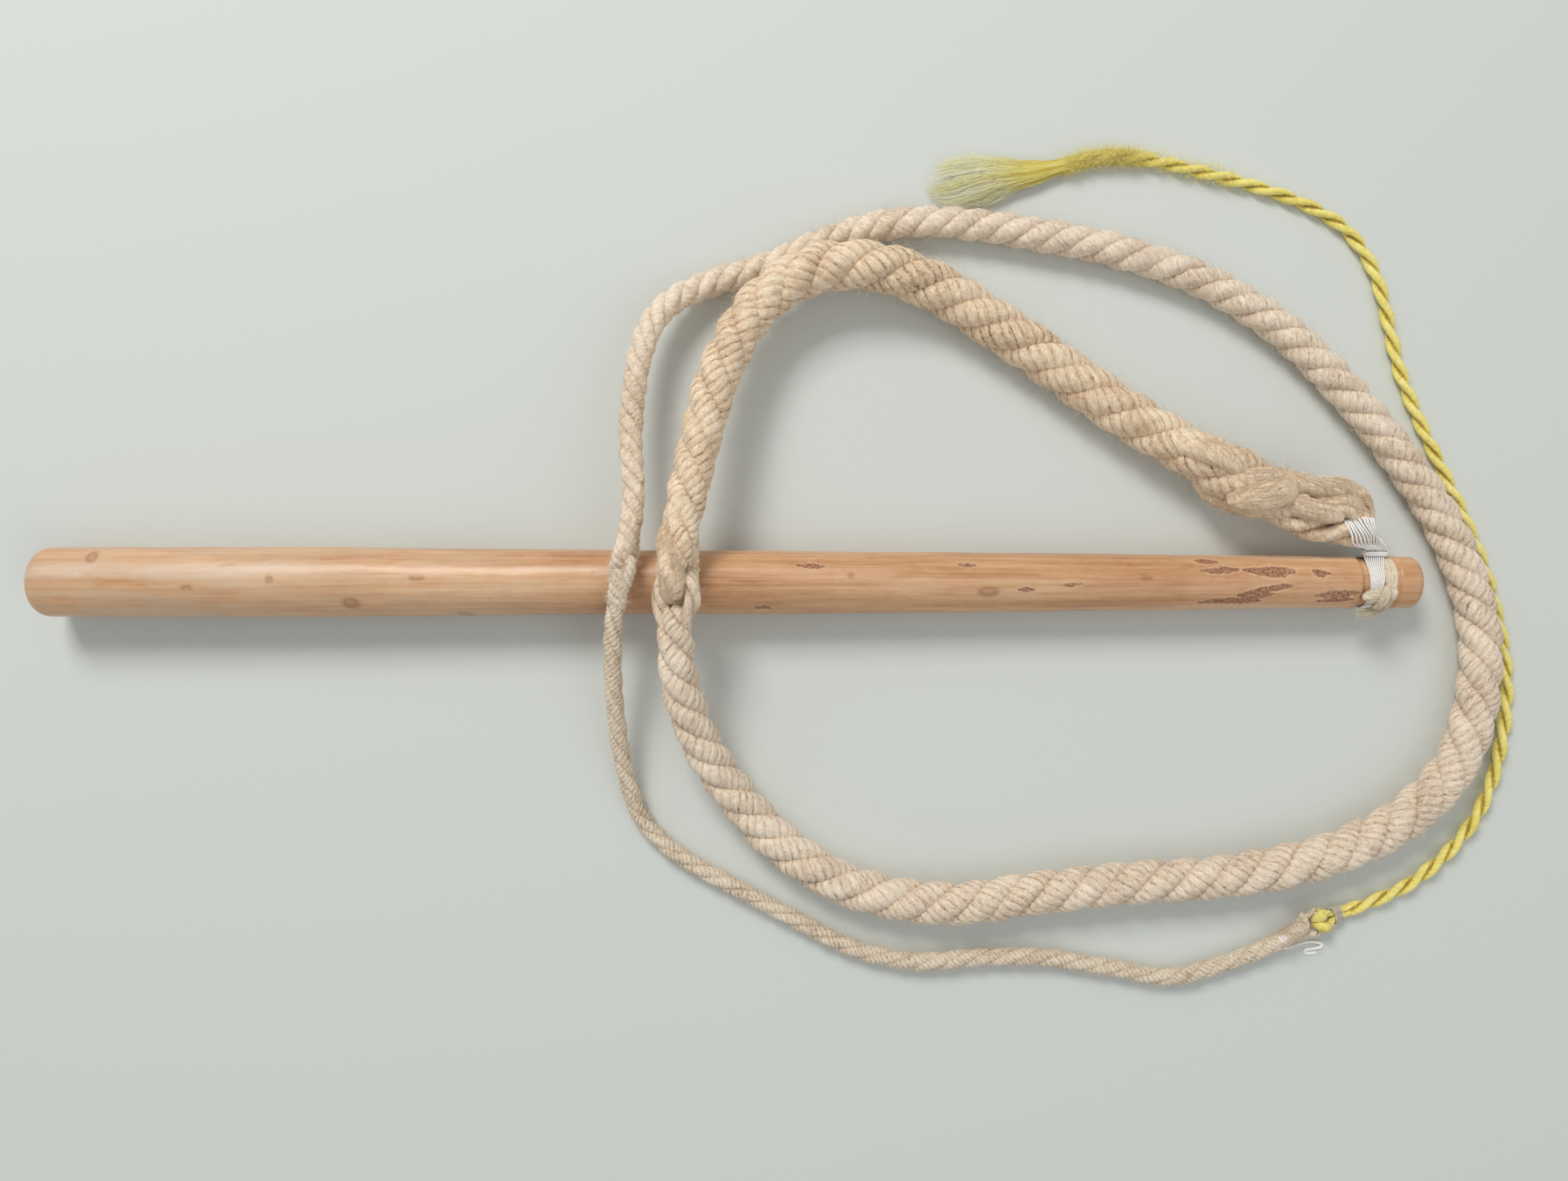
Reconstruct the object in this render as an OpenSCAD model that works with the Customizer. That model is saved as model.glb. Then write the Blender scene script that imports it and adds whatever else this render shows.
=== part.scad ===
// Rope whip laid down in one loose spiral: a tapered round wooden handle, a twine
// hitch that turns in the groove near its tip, three laid ropes linked eye in eye,
// and a twisted yellow cracker larks-headed on the last eye.
// Millimetres. The handle lies along X with its butt at -X. The ground is z = 0.

/* [Handle] */
// Length of the handle from butt to tip
handle_len = 686; // [580:2:840]
// Diameter of the even grip
grip_d = 35; // [32:0.5:42]
// Length of the even grip, measured from the butt
grip_len = 143; // [105:2:195]
// Diameter halfway between grip and waist
middle_d = 31.8; // [31:0.1:33]
// Diameter of the waist, beyond the crossing ropes
waist_d = 30.6; // [28:0.2:31]
// Diameter just behind the hitch groove
neck_d = 27; // [25:0.2:27.8]
// Diameter of the tip
tip_d = 26.4; // [24:0.2:27]
// Radius of the rounded edge of the butt
butt_round = 7; // [3:0.5:11]
// Radius of the rounded edge of the tip
tip_round = 4; // [2:0.5:6]
// Depth of the groove that holds the hitch
groove_depth = 1.8; // [1.4:0.1:2.4]
// Distance from the tip to the middle of the groove
groove_setback = 22; // [20:1:30]

/* [Hitch] */
// Diameter of the waxed twine
twine_d = 0.9; // [0.7:0.05:1.1]
// Turns of twine round the handle and through the eye
hitch_turns = 6; // [4:1:6]
// Turns of twine that seize the neck of the hitch
seizing_turns = 2; // [1:1:2]
// Width of the strip bound beside the twine
tie_w = 5.4; // [4:0.2:6.4]
// Thickness of that strip
tie_t = 1.2; // [0.8:0.1:1.4]

/* [Ropes] */
// Diameter of rope A along its thick part
rope_a_d = 25; // [20:0.5:30]
// Diameter of rope A where it ends in the link
rope_a_end_d = 18.5; // [15:0.5:22]
// Diameter of the strand that forms the hitch eye
hitch_eye_d = 12; // [10:0.2:13]
// Diameter of rope A's strand in the link
link_a_d = 9.5; // [8:0.1:11]
// Diameter of rope B's strand in that link
link_b_d = 8.5; // [7:0.1:10]
// Diameter of rope B along its thick part
rope_b_d = 22; // [18:0.5:26]
// Diameter of rope B at its splice
rope_b_throat_d = 17.5; // [15:0.5:21]
// Diameter of rope B's thin end
rope_b_end_d = 10.8; // [9:0.2:13]
// Diameter of the strands that link rope B and rope C
link_bc_d = 4.6; // [3.8:0.1:5.2]
// Diameter of rope C
rope_c_d = 9.2; // [7.6:0.2:10.4]
// Diameter of rope C where it ends
rope_c_end_d = 8.2; // [7:0.2:9]
// Diameter of the strand of rope C's end eye
end_eye_d = 3.6; // [3:0.1:4]

/* [Cracker] */
// Diameter of the twisted cracker
cracker_d = 6.6; // [5.6:0.2:7.4]
// Diameter of one of its two cords
cracker_ply_d = 2.6; // [2.4:0.1:2.8]
// Width of the frayed tuft
tuft_w = 25; // [16:1:26]
// Height of the frayed tuft
tuft_h = 12; // [8:1:16]
// Diameter of the thread tied on rope C's end and whipped round the cracker's neck
thread_d = 0.8; // [0.6:0.1:1]
// Turns of the whipping on the cracker's neck
whipping_turns = 3; // [2:1:3]

/* [Fits] */
// Gap between the hitch and the handle that turns in it
turn_gap = 0.3; // [0.3:0.05:0.5]
// Gap between cords that lie on each other
cord_gap = 0.4; // [0.3:0.05:0.6]

/* [Hidden] */
$fn = 96;

UP = [0, 0, 1];
wood = [0.80, 0.61, 0.44];
hemp = [0.82, 0.72, 0.57];
pale_hemp = [0.78, 0.71, 0.60];
twine_white = [0.89, 0.87, 0.82];
strip_cream = [0.84, 0.79, 0.67];
yellow = [0.91, 0.83, 0.37];
pale_yellow = [0.85, 0.82, 0.49];

// ---- handle: stations along its axis, and how it lies on the ground ----

tip_x = handle_len / 2;
grip_end_x = grip_len - tip_x;
waist_x = tip_x - 233;
middle_x = (grip_end_x + waist_x) / 2;
neck_x = tip_x - 53;
hitch_x = tip_x - groove_setback;
groove_r = neck_d / 2 - groove_depth;
// the groove is as wide as the turns of twine and the strip that lie in it
twine_pitch = twine_d + 0.5;
turns_inset = 1.9;
turns_w = (hitch_turns - 0.5) * twine_pitch + twine_d;
strip_inset = 0.9;
groove_w = turns_inset + turns_w + 1.2 + tie_w + strip_inset;
groove_ramp = 3;

stations = [[-tip_x, grip_d / 2], [grip_end_x, grip_d / 2], [middle_x, middle_d / 2],
            [waist_x, waist_d / 2], [neck_x, neck_d / 2], [tip_x, tip_d / 2]];
// the handle rests on the end of its grip and on the next station that meets the ground
lay_tilt = min([for (s = stations) if (s.x > grip_end_x)
    atan((grip_d / 2 - s.y) / (s.x - grip_end_x))]);
function handle_r(x) = lookup(x, stations);
function axis_z(x) = grip_d / 2 * cos(lay_tilt) - (x - grip_end_x * cos(lay_tilt)) * tan(lay_tilt);
function handle_top(x) = axis_z(x) + handle_r(x);

// ---- routes: x, y and the height of the cord's underside over the ground ----

// the routes' points are chosen for a handle whose tip is here, and move with it
route_tip_x = 343;
shift_x = tip_x - route_tip_x;
// places and heights of the handle's top under the two links
link_ab_x = -23.5 + shift_x;
link_bc_x = -49 + shift_x;
top_ab = handle_top(link_ab_x);
top_bc = handle_top(link_bc_x);
// rope A lies on the side of rope B where the two cross, this far apart in plan
cross_offset = 12;
rope_b_cross_d = rope_b_end_d + 0.17 * (rope_b_d - rope_b_end_d);
a_over_b = rope_b_cross_d / 2 - rope_a_d / 2
    + sqrt(pow((rope_a_d + rope_b_cross_d) / 2 + cord_gap, 2) - pow(cross_offset, 2));

splice_a_route = [[281, 35, 13.5], [268, 41, 11.5], [255, 50, 8.5], [243, 57, 7], [231, 64, 6]];
rope_a_route = [[231, 64, 6], [196, 86, 1.5], [152, 117, 0], [108, 145, 2], [76, 156, a_over_b - 1.5],
                [44, 155, a_over_b], [15, 137, 12], [-3, 104, 20], [-12, 72, top_ab - 4],
                [-19, 40, top_ab + 1.5], [-20.5, 30, top_ab + 2.3]];
splice_b_route = [[-24.5, -24, top_ab], [-24, -40, top_ab - 3.5], [-21, -57, 22.5]];
rope_b_route = [[-21, -57, 22.5], [-12, -82, 13.5], [3, -106, 5], [24, -130, 0.5], [60, -153, 0],
                [108, -162, 0], [152, -157, 0], [196, -152, 0], [241, -149, 0], [280, -143, 0],
                [316, -132, 0], [346, -114, 0], [367, -90, 0], [377, -59, 0], [378, -22, 0],
                [366, 18, 0], [345, 54, 0], [316, 91, 0], [280, 127, 0], [240, 152, 0],
                [198, 167, 0], [155, 176, 0], [113, 182, 0], [78, 181, 0], [45, 171, 0],
                [16, 159, 0], [-10, 151, 2], [-30, 139, 10], [-41, 121, 16], [-46, 95, 22],
                [-47, 68, top_bc - 4.9], [-45, 44, top_bc + 0.1], [-46, 27, top_bc + 1.6]];
rope_c_route = [[-53, -8, top_bc - 1.1], [-55.5, -24, top_bc - 3.9], [-56.5, -46, 22.5],
                [-55.5, -72, 14], [-52, -98, 6], [-44, -121, 0.5], [-26, -139, 0], [2, -155, 0],
                [32, -171, 0], [62, -186, 0], [94, -193, 0], [128, -191, 0], [160, -191, 0],
                [192, -196, 0], [224, -201, 0], [252, -194, 0], [270, -187, 0.8], [284, -180, 1.8]];
cracker_route = [[316, -167, 0.1], [330, -162, 0], [348, -153, 0], [366, -138, 0], [381, -119, 0],
                 [390, -97, 0], [395, -72, 0], [396, -46, 0], [392, -20, 0], [385, 6, 0],
                 [375, 32, 0], [363, 58, 0], [351, 84, 0], [341, 110, 0], [335, 136, 0],
                 [328, 160, 0], [314, 180, 0], [293, 193, 0], [268, 202, 0], [242, 209, 0],
                 [216, 215, 0], [192, 217, 0], [170, 212.5, 0]];
tuft_route = [[170, 212.5, 0], [158, 209.5, 0], [146, 207, 0], [130, 205, 0], [116, 204, 0],
              [104, 203, 0.5], [96, 202.5, 2]];
tuft_swell = [0, 0.2, 0.45, 0.8, 1, 0.85, 0.3];

// diameter at each point of a route, from a table of [share of the points, diameter]
function taper(route, table) = [for (i = [0:len(route) - 1]) lookup(i / (len(route) - 1), table)];
// centre line of a cord whose underside follows the route
function lay(route, ds) = [for (i = [0:len(route) - 1])
    [route[i].x + shift_x, route[i].y, route[i].z + ds[i] / 2]];

splice_a_ds = [21, 22, 28, 28.5, rope_a_d];
rope_a_ds = taper(rope_a_route, [[0, rope_a_d], [0.5, rope_a_d], [1, rope_a_end_d]]);
splice_b_ds = [rope_b_throat_d, 19, 20];
rope_b_ds = taper(rope_b_route, [[0, 20], [0.1, rope_b_d], [0.34, rope_b_d], [1, rope_b_end_d]]);
rope_c_ds = taper(rope_c_route, [[0, rope_c_d], [0.6, rope_c_d], [1, rope_c_end_d]]);
cracker_ds = taper(cracker_route, [[0, cracker_d], [1, cracker_d]]);
tuft_widths = [for (s = tuft_swell) cracker_d + (tuft_w - cracker_d) * s];
tuft_heights = [for (s = tuft_swell) cracker_d + (tuft_h - cracker_d) * s];

// direction in which two stretches pass the point where one ends and the next starts
function join_dir(path, next) = unit(next[1] - path[len(path) - 2]);

splice_a_path = lay(splice_a_route, splice_a_ds);
rope_a_path = lay(rope_a_route, rope_a_ds);
splice_b_path = lay(splice_b_route, splice_b_ds);
rope_b_path = lay(rope_b_route, rope_b_ds);
rope_c_path = lay(rope_c_route, rope_c_ds);
cracker_path = lay(cracker_route, cracker_ds);
tuft_path = lay(tuft_route, tuft_heights);

// ---- curves and tubes ----

function unit(v) = v / norm(v);
function last(list) = list[len(list) - 1];
// direction in which a path leaves its first or its last point
function out_first(path) = unit(path[0] - path[1]);
function out_last(path) = unit(last(path) - path[len(path) - 2]);

// one point of a smooth curve through the points p, t of the way from point i to the next
function curve_point(p, i, t) =
    let(n = len(p) - 1,
        a = i > 0 ? p[i - 1] : 2 * p[0] - p[1],
        b = p[i],
        c = p[i + 1],
        d = i < n - 1 ? p[i + 2] : 2 * p[n] - p[n - 1])
    (2 * b + (c - a) * t + (2 * a - 5 * b + 4 * c - d) * t * t
     + (3 * b - a - 3 * c + d) * t * t * t) / 2;
function smooth(p, steps) = concat(
    [for (i = [0:len(p) - 2]) for (k = [0:steps - 1]) curve_point(p, i, k / steps)],
    [last(p)]);

function tangent(path, i) = unit(path[min(i + 1, len(path) - 1)] - path[max(i - 1, 0)]);
// directions of all the rings; start and end replace the first and the last where given
function tangents(path, start, end) = [for (i = [0:len(path) - 1])
    i == 0 && start != undef ? start : i == len(path) - 1 && end != undef ? end : tangent(path, i)];
// direction of a ring's side, carried along the path without twist
function carried(side, along) = unit(side - along * (side * along));
function ring_sides(dirs, ref) =
    [for (i = 0, side = unit(cross(ref, dirs[0])); i < len(dirs);
          i = i + 1, side = i < len(dirs) ? carried(side, dirs[i]) : side) side];
function ring(centre, along, side, half_w, half_h, sides) =
    let(rise = cross(along, side))
    [for (k = [0:sides - 1])
        centre + side * half_w * cos(360 * k / sides) + rise * half_h * sin(360 * k / sides)];

// Tube along a path. Widths and heights are diameters at its points; ref is a direction
// that the path doesn't start along. Its end faces are square to start and end.
module tube(path, widths, heights, sides = 8, ref = UP, start = undef, end = undef) {
    n = len(path);
    dirs = tangents(path, start, end);
    side = ring_sides(dirs, ref);
    points = [for (i = [0:n - 1])
        each ring(path[i], dirs[i], side[i], widths[i] / 2, heights[i] / 2, sides)];
    walls = [for (i = [0:n - 2]) for (k = [0:sides - 1])
        let(a = i * sides + k, b = i * sides + (k + 1) % sides)
        each [[a, b + sides, b], [a, a + sides, b + sides]]];
    first_cap = [for (k = [1:sides - 2]) [0, k, k + 1]];
    last_cap = [for (k = [1:sides - 2])
        [(n - 1) * sides, (n - 1) * sides + k + 1, (n - 1) * sides + k]];
    polyhedron(points, concat(walls, first_cap, last_cap), convexity = 10);
}

// turns round two cords side by side: half turns of half_h joined by straight runs
function seizing(c, wide, thick, along, half_w, half_h, turns, pitch) =
    [for (k = [0:24 * turns])
        let(a = 15 * k, bend = abs(cos(a)) < 0.01 ? 0 : sign(cos(a)))
        c + wide * ((half_w - half_h) * bend + half_h * cos(a)) + thick * half_h * sin(a)
            + along * (k / 24 - turns / 2) * pitch];

module cord(path, ds, sides = 8, ref = UP, start = undef, end = undef)
    tube(path, ds, ds, sides, ref, start, end);
module even_cord(path, d, sides = 8, ref = UP, start = undef, end = undef)
    cord(path, [for (p = path) d], sides, ref, start, end);

// ---- eyes: two legs leave a rope's end face and meet round a half circle ----

eye_lead = 3;
// share of the bend's radius over which the legs stay parallel beside what they hold
eye_stay = 0.5;
function eye_route(root, out, bend, along, across, spread, bend_r) =
    let(start = unit(across - out * (across * out)))
    concat([root + start * spread, root + start * spread + out * eye_lead],
           [bend + across * bend_r - along * bend_r * eye_stay],
           [for (a = [0:30:180]) bend + bend_r * (across * cos(a) + along * sin(a))],
           [bend - across * bend_r - along * bend_r * eye_stay],
           [root - start * spread + out * eye_lead, root - start * spread]);

module eye(root, out, bend, along, across, spread, bend_r, d)
    even_cord(smooth(eye_route(root, out, bend, along, across, spread, bend_r), 2), d,
              8, cross(across, along), out, -out);

// linked eyes lean over like this, one steep and the other flat, square to each other
link_lean = 55;
function steep(along) = UP * sin(link_lean) + cross(along, UP) * cos(link_lean);
function flat(along) = UP * cos(link_lean) - cross(along, UP) * sin(link_lean);

// link of rope A and rope B, on top of the handle
link_ab_r = (link_a_d + link_b_d) / 2 + cord_gap;
link_ab_along = [0, -1, 0];
link_ab = [link_ab_x, 3.4,
           top_ab + cord_gap + link_a_d / 2 + link_ab_r * sin(link_lean)];

// link of rope B and rope C, on top of the handle
link_bc_r = link_bc_d + cord_gap;
link_bc_along = unit([-0.2, -1, 0]);
link_bc = [link_bc_x, 12,
           top_bc + cord_gap + link_bc_d / 2 + link_bc_r * sin(link_lean)];

// ---- hitch: the eye that the twine holds, and the twine's turns ----

// extra radius that keeps a turn's straight chords clear of what it wraps
chord_slack = 0.45;
eye_hole_r = 1.4 + twine_d;
wrap_eye_r = hitch_eye_d / 2 + cord_gap + twine_d / 2 + 0.4;
hitch_bend_r = wrap_eye_r + eye_hole_r;
eye_bend = [309.5 + shift_x, 33.5, splice_a_path[0].z];
eye_along = unit(eye_bend - splice_a_path[0]);
eye_across = cross(UP, eye_along);

stick_c = [hitch_x, 0, axis_z(hitch_x)];
stick_turn_r = groove_r + turn_gap + twine_d / 2 + chord_slack;
// from the handle's axis to the eye, square to X, and the direction square to both
neck_dir = unit([0, eye_bend.y - hitch_bend_r, eye_bend.z - stick_c.z]);
neck_side = [0, -neck_dir.z, neck_dir.y];
neck_half = twine_d / 2 + 0.45;
neck_in = stick_turn_r + 1.8 * twine_d;
neck_out = neck_in + 3.8 * twine_d;
neck_spread = 2.2 * twine_d;
turns_x = hitch_x - groove_w / 2 + turns_inset + twine_d / 2;
neck_turns_x = turns_x - 1.7;

// q counts turns; each place on a turn has its own x for it
function stick_point(q, angle) = [turns_x + q * twine_pitch, 0, stick_c.z]
    + stick_turn_r * (neck_dir * cos(angle) + neck_side * sin(angle));
function neck_point(q, reach, s) = [neck_turns_x + q * neck_spread, 0, stick_c.z]
    + neck_dir * reach + neck_side * neck_half * s;
function hole_x(q) = eye_bend.x + 2 * twine_d - (hitch_turns - q) * 1.95 * twine_d;
// a turn over (s = 1) or under (s = -1) the strand, turned this far from the hole to the neck
function strand_point(q, turn, s) =
    let(share = (1 - cos(turn)) / 2,
        x = hole_x(q) * (1 - share) + neck_point(q, neck_out, s).x * share,
        past = max(0, x - eye_bend.x),
        reach = hitch_bend_r - wrap_eye_r * cos(turn))
    [x, eye_bend.y - sqrt(max(0.1, reach * reach - past * past)),
     eye_bend.z + s * wrap_eye_r * sin(turn)];

stick_steps = 10;
function hitch_turn(i) = concat(
    [neck_point(i, neck_out, 1), neck_point(i + 1 / 24, neck_in, 1)],
    [for (k = [0:stick_steps])
        stick_point(i + (2 + k) / 24, 31 + k * (360 - 2 * 31) / stick_steps)],
    [neck_point(i + 13 / 24, neck_in, -1), neck_point(i + 14 / 24, neck_out, -1)],
    [for (k = [4:-1:1]) strand_point(i + (19 - k) / 24, k * 35, -1)],
    [strand_point(i + 19 / 24, 0, 1)],
    [for (k = [1:4]) strand_point(i + (19 + k) / 24, k * 35, 1)]);
hitch_path = concat(
    [neck_point(0, neck_out + twine_d, 1)],
    [for (i = [0:hitch_turns - 1]) each hitch_turn(i)],
    [neck_point(hitch_turns, neck_out, 1), neck_point(hitch_turns, neck_out - twine_d, 1)]);

// the seizing runs round the flat neck
seize_half_w = (hitch_turns * neck_spread) / 2 + twine_d + cord_gap + 0.7;
seize_half_h = neck_half + twine_d + cord_gap + 0.1;
seize_c = [neck_turns_x + hitch_turns * neck_spread / 2, 0, stick_c.z]
    + neck_dir * (neck_in + neck_out) / 2;
seize_path = seizing(seize_c, [1, 0, 0], neck_side, neck_dir, seize_half_w, seize_half_h,
                     seizing_turns, twine_pitch);

// distance from point p to the straight piece from a to b
function to_piece(p, a, b) =
    let(t = min(1, max(0, (p - a) * (b - a) / ((b - a) * (b - a)))))
    norm(p - a - t * (b - a));
// least clear gap of a wound cord to itself, leaving out its own near stretch
function least_gap(path, d, skip) = min([for (i = [0:len(path) - 1])
    for (j = [i + skip:1:len(path) - 2]) to_piece(path[i], path[j], path[j + 1])]) - d;
echo(hitch_loop_least_gap = least_gap(hitch_path, twine_d, 6));
echo(neck_seizing_least_gap = least_gap(seize_path, twine_d, 6));

// ---- strip and its knot, beside and over the twine ----

tie_x = hitch_x + groove_w / 2 - strip_inset - tie_w / 2;
knot_lean = 27;
knot_out = [0, -sin(knot_lean), cos(knot_lean)];
knot_round = [0, -cos(knot_lean), -sin(knot_lean)];
knot_r = stick_turn_r + twine_d / 2 - 0.3;
// a place on the knot: along the handle, round it, and out from the turns of twine
function knot_point(p) = [hitch_x - 0.5 + p.x, 0, stick_c.z] + knot_out * (knot_r + p.z)
    + knot_round * p.y;
knot_roll = [[-7.5, 1.5, 2.2], [-5, 0, 3.4], [-1.5, -0.5, 3.6], [2, 0, 3.4], [5.2, -1, 3.2],
             [7.6, -3.5, 1.8]];
knot_roll_ds = [3, 6, 6.6, 5.6, 5.8, 2.6];
knot_loop = [[3, -4.6, 1.7], [2, -4.8, 4.6], [0.6, -2, 7.9], [-0.8, 2.2, 7.8], [-1.6, 5, 4.6],
             [-1, 4.7, 1.9]];
tail_route = [[5, 6.1, 2], [1, 8, 0.8], [-5, 8.4, 0], [-10, 9.5, -1]];
tail_ds = [2.6, 3.6, 3.4, 1.6];

// ---- rope C's end eye, the cracker's fold on it and the thread ----

bar_wrap_r = (end_eye_d + cracker_ply_d) / 2 + cord_gap + 0.15;
end_bend_r = bar_wrap_r + 2.95;
bar_z = bar_wrap_r + cracker_ply_d / 2 + 0.1;
end_bend = [294.5 + shift_x, -173.5, bar_z];
end_along = unit([end_bend.x - last(rope_c_path).x, end_bend.y - last(rope_c_path).y, 0]);
// the fold goes over the eye's bar, and can slide round it
swing_dir = 17;
swing_out = [cos(swing_dir), sin(swing_dir), 0];
swing_side = cross(UP, swing_out);
fold_angle = 31;
function bar_point(a, turn) = end_bend
    + [cos(a), sin(a), 0] * (end_bend_r + bar_wrap_r * cos(turn)) + UP * bar_wrap_r * sin(turn);
fold_out = out_first(cracker_path);
fold_across = cross(UP, fold_out);
fold_spread = cracker_ply_d / 2 + 0.15;
fold_nose = end_bend + swing_out * (end_bend_r + bar_wrap_r * 0.95) - UP * bar_wrap_r * 0.75;
// a place on the neck between fold and cracker: s is its side, z its height
function fold_neck(reach, s, z) = [end_bend.x, end_bend.y, z] + swing_out * reach
    + swing_side * s * fold_spread;
function fold_half(s) = concat(
    [cracker_path[0] - fold_across * s * fold_spread,
     cracker_path[0] - fold_across * s * fold_spread + fold_out * 2,
     fold_neck(16.5, s, 3.9), fold_neck(12.5, s, 5)],
    [for (turn = [60:29:292]) bar_point(swing_dir + s * fold_angle, turn)]);
function reversed(list) = [for (i = [len(list) - 1:-1:0]) list[i]];
fold_route = concat(fold_half(1), [fold_nose], reversed(fold_half(-1)));

whip_along = unit(fold_neck(16.5, 0, 3.9) - fold_neck(12.5, 0, 5));
whip_half_h = cracker_ply_d / 2 + cord_gap + thread_d / 2 + 0.1;
whip_path = seizing(fold_neck(14.5, 0, 4.45), swing_side, cross(swing_side, whip_along), whip_along,
                    fold_spread + whip_half_h, whip_half_h, whipping_turns, thread_d + 0.5);
echo(whipping_least_gap = least_gap(whip_path, thread_d, 6));

thread_along = out_last(rope_c_path);
thread_side = unit(cross(UP, thread_along));
thread_r = rope_c_end_d / 2 + cord_gap + thread_d / 2 + 0.15;
thread_c = last(rope_c_path) - thread_along * 5;
thread_turns = 2;
function thread_point(q) = thread_c + thread_along * q * (thread_d + 0.5)
    + thread_r * (thread_side * cos(360 * q) + cross(thread_along, thread_side) * sin(360 * q));
thread_ends = [[285, -188, 0.6], [290, -188.5, 0.5], [296, -187, 0.5], [298, -184.5, 0.6],
               [295, -184, 1.2], [290, -184.8, 1.9], [287.5, -187.5, 2], [291, -190.5, 0.8],
               [298, -190.5, 0.5]];
thread_path = concat(
    [for (k = [0:16 * thread_turns + 9]) thread_point(k / 16)],
    [for (p = thread_ends) [p.x + shift_x, p.y, p.z]]);
echo(tie_thread_least_gap = least_gap(thread_path, thread_d, 8));

// ---- the pieces ----

function arc(cx, cy, r, from, to, steps) =
    [for (k = [0:steps]) let(a = from + (to - from) * k / steps) [cx + r * cos(a), cy + r * sin(a)]];

handle_outline = concat(
    [[0, -tip_x]],
    arc(grip_d / 2 - butt_round, butt_round - tip_x, butt_round, -90, 0, 8),
    [[grip_d / 2, grip_end_x], [middle_d / 2, middle_x], [waist_d / 2, waist_x], [neck_d / 2, neck_x]],
    [[handle_r(hitch_x - groove_w / 2), hitch_x - groove_w / 2],
     [groove_r, hitch_x - groove_w / 2 + groove_ramp * 0.5],
     [groove_r, hitch_x + groove_w / 2 - groove_ramp * 0.2],
     [handle_r(hitch_x + groove_w / 2 + groove_ramp), hitch_x + groove_w / 2 + groove_ramp * 0.4]],
    arc(tip_d / 2 - tip_round, tip_x - tip_round, tip_round, 0, 90, 6),
    [[0, tip_x]]);

module handle() color(wood)
    translate([0, 0, axis_z(0)]) rotate([0, 90 + lay_tilt, 0]) rotate_extrude()
        polygon(handle_outline);

module hitch_loop() color(twine_white) even_cord(hitch_path, twine_d, 6, [1, 0, 0.02]);

module neck_seizing() color(twine_white) even_cord(seize_path, twine_d, 6, neck_dir);

module hitch_tie() color(strip_cream)
    translate([tie_x, 0, axis_z(tie_x)]) rotate([0, 90 + lay_tilt, 0]) rotate_extrude()
        translate([groove_r + turn_gap, -tie_w / 2]) square([tie_t, tie_w]);

module hitch_knot() color(strip_cream) {
    cord(smooth([for (p = knot_roll) knot_point(p)], 2), smooth(knot_roll_ds, 2));
    even_cord(smooth([for (p = knot_loop) knot_point(p)], 2), 3.2, 8, [1, 0, 0]);
}

module knot_tail() color(strip_cream)
    cord(smooth([for (p = tail_route) knot_point(p)], 2), smooth(tail_ds, 2));

module rope_a_eye() color(hemp)
    eye(splice_a_path[0], out_first(splice_a_path), eye_bend, eye_along, eye_across,
        hitch_eye_d / 2 + cord_gap / 2, hitch_bend_r, hitch_eye_d);

module rope_a_tuck() color(hemp)
    cord(smooth([for (p = [[283, 1.5], [288, 1], [294, 0.5], [299, 0]])
             [p.x + shift_x, 34, eye_bend.z + hitch_eye_d / 2 + 2.1 + p.y]], 2),
         smooth([8.4, 9, 8.4, 5], 2));

module rope_a_splice() color(hemp)
    cord(smooth(splice_a_path, 2), smooth(splice_a_ds, 2), 12, UP,
         -out_first(splice_a_path), join_dir(splice_a_path, rope_a_path));

module rope_a() color(hemp)
    cord(rope_a_path, rope_a_ds, 12, UP, join_dir(splice_a_path, rope_a_path));

module rope_a_link_eye() color(hemp)
    eye(last(rope_a_path), out_last(rope_a_path), link_ab, link_ab_along,
        steep(link_ab_along), link_a_d / 2 + cord_gap / 2, link_ab_r, link_a_d);

module rope_b_link_eye() color(hemp)
    eye(splice_b_path[0], out_first(splice_b_path), link_ab + link_ab_along * link_ab_r,
        -link_ab_along, flat(link_ab_along), link_b_d / 2 + cord_gap / 2, link_ab_r, link_b_d);

module rope_b_splice() color(hemp)
    cord(smooth(splice_b_path, 2), smooth(splice_b_ds, 2), 12, UP,
         -out_first(splice_b_path), join_dir(splice_b_path, rope_b_path));

module rope_b() color(hemp)
    cord(rope_b_path, rope_b_ds, 12, UP, join_dir(splice_b_path, rope_b_path));

module rope_b_end_eye() color(pale_hemp)
    eye(last(rope_b_path), out_last(rope_b_path), link_bc, link_bc_along,
        steep(link_bc_along), link_bc_d / 2 + cord_gap / 2, link_bc_r, link_bc_d);

module rope_c_eye() color(pale_hemp)
    eye(rope_c_path[0], out_first(rope_c_path), link_bc + link_bc_along * link_bc_r,
        -link_bc_along, flat(link_bc_along), link_bc_d / 2, link_bc_r, link_bc_d);

module rope_c() color(pale_hemp) cord(rope_c_path, rope_c_ds, 8);

module rope_c_end_eye() color(pale_hemp)
    eye(last(rope_c_path), out_last(rope_c_path), end_bend, end_along, cross(UP, end_along),
        end_eye_d / 2 + cord_gap / 2, end_bend_r, end_eye_d);

module tie_thread() color(twine_white) even_cord(thread_path, thread_d, 6, [0.3, 0.1, 1]);

module cracker_hitch() color(yellow)
    even_cord(fold_route, cracker_ply_d, 8, UP, fold_out, -fold_out);

module cracker_whipping() color(pale_hemp) even_cord(whip_path, thread_d, 6, whip_along);

module cracker() color(yellow)
    cord(cracker_path, cracker_ds, 8, UP, undef, join_dir(cracker_path, tuft_path));

module cracker_tuft() color(pale_yellow)
    tube(tuft_path, tuft_widths, tuft_heights, 12, UP, join_dir(cracker_path, tuft_path));

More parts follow.
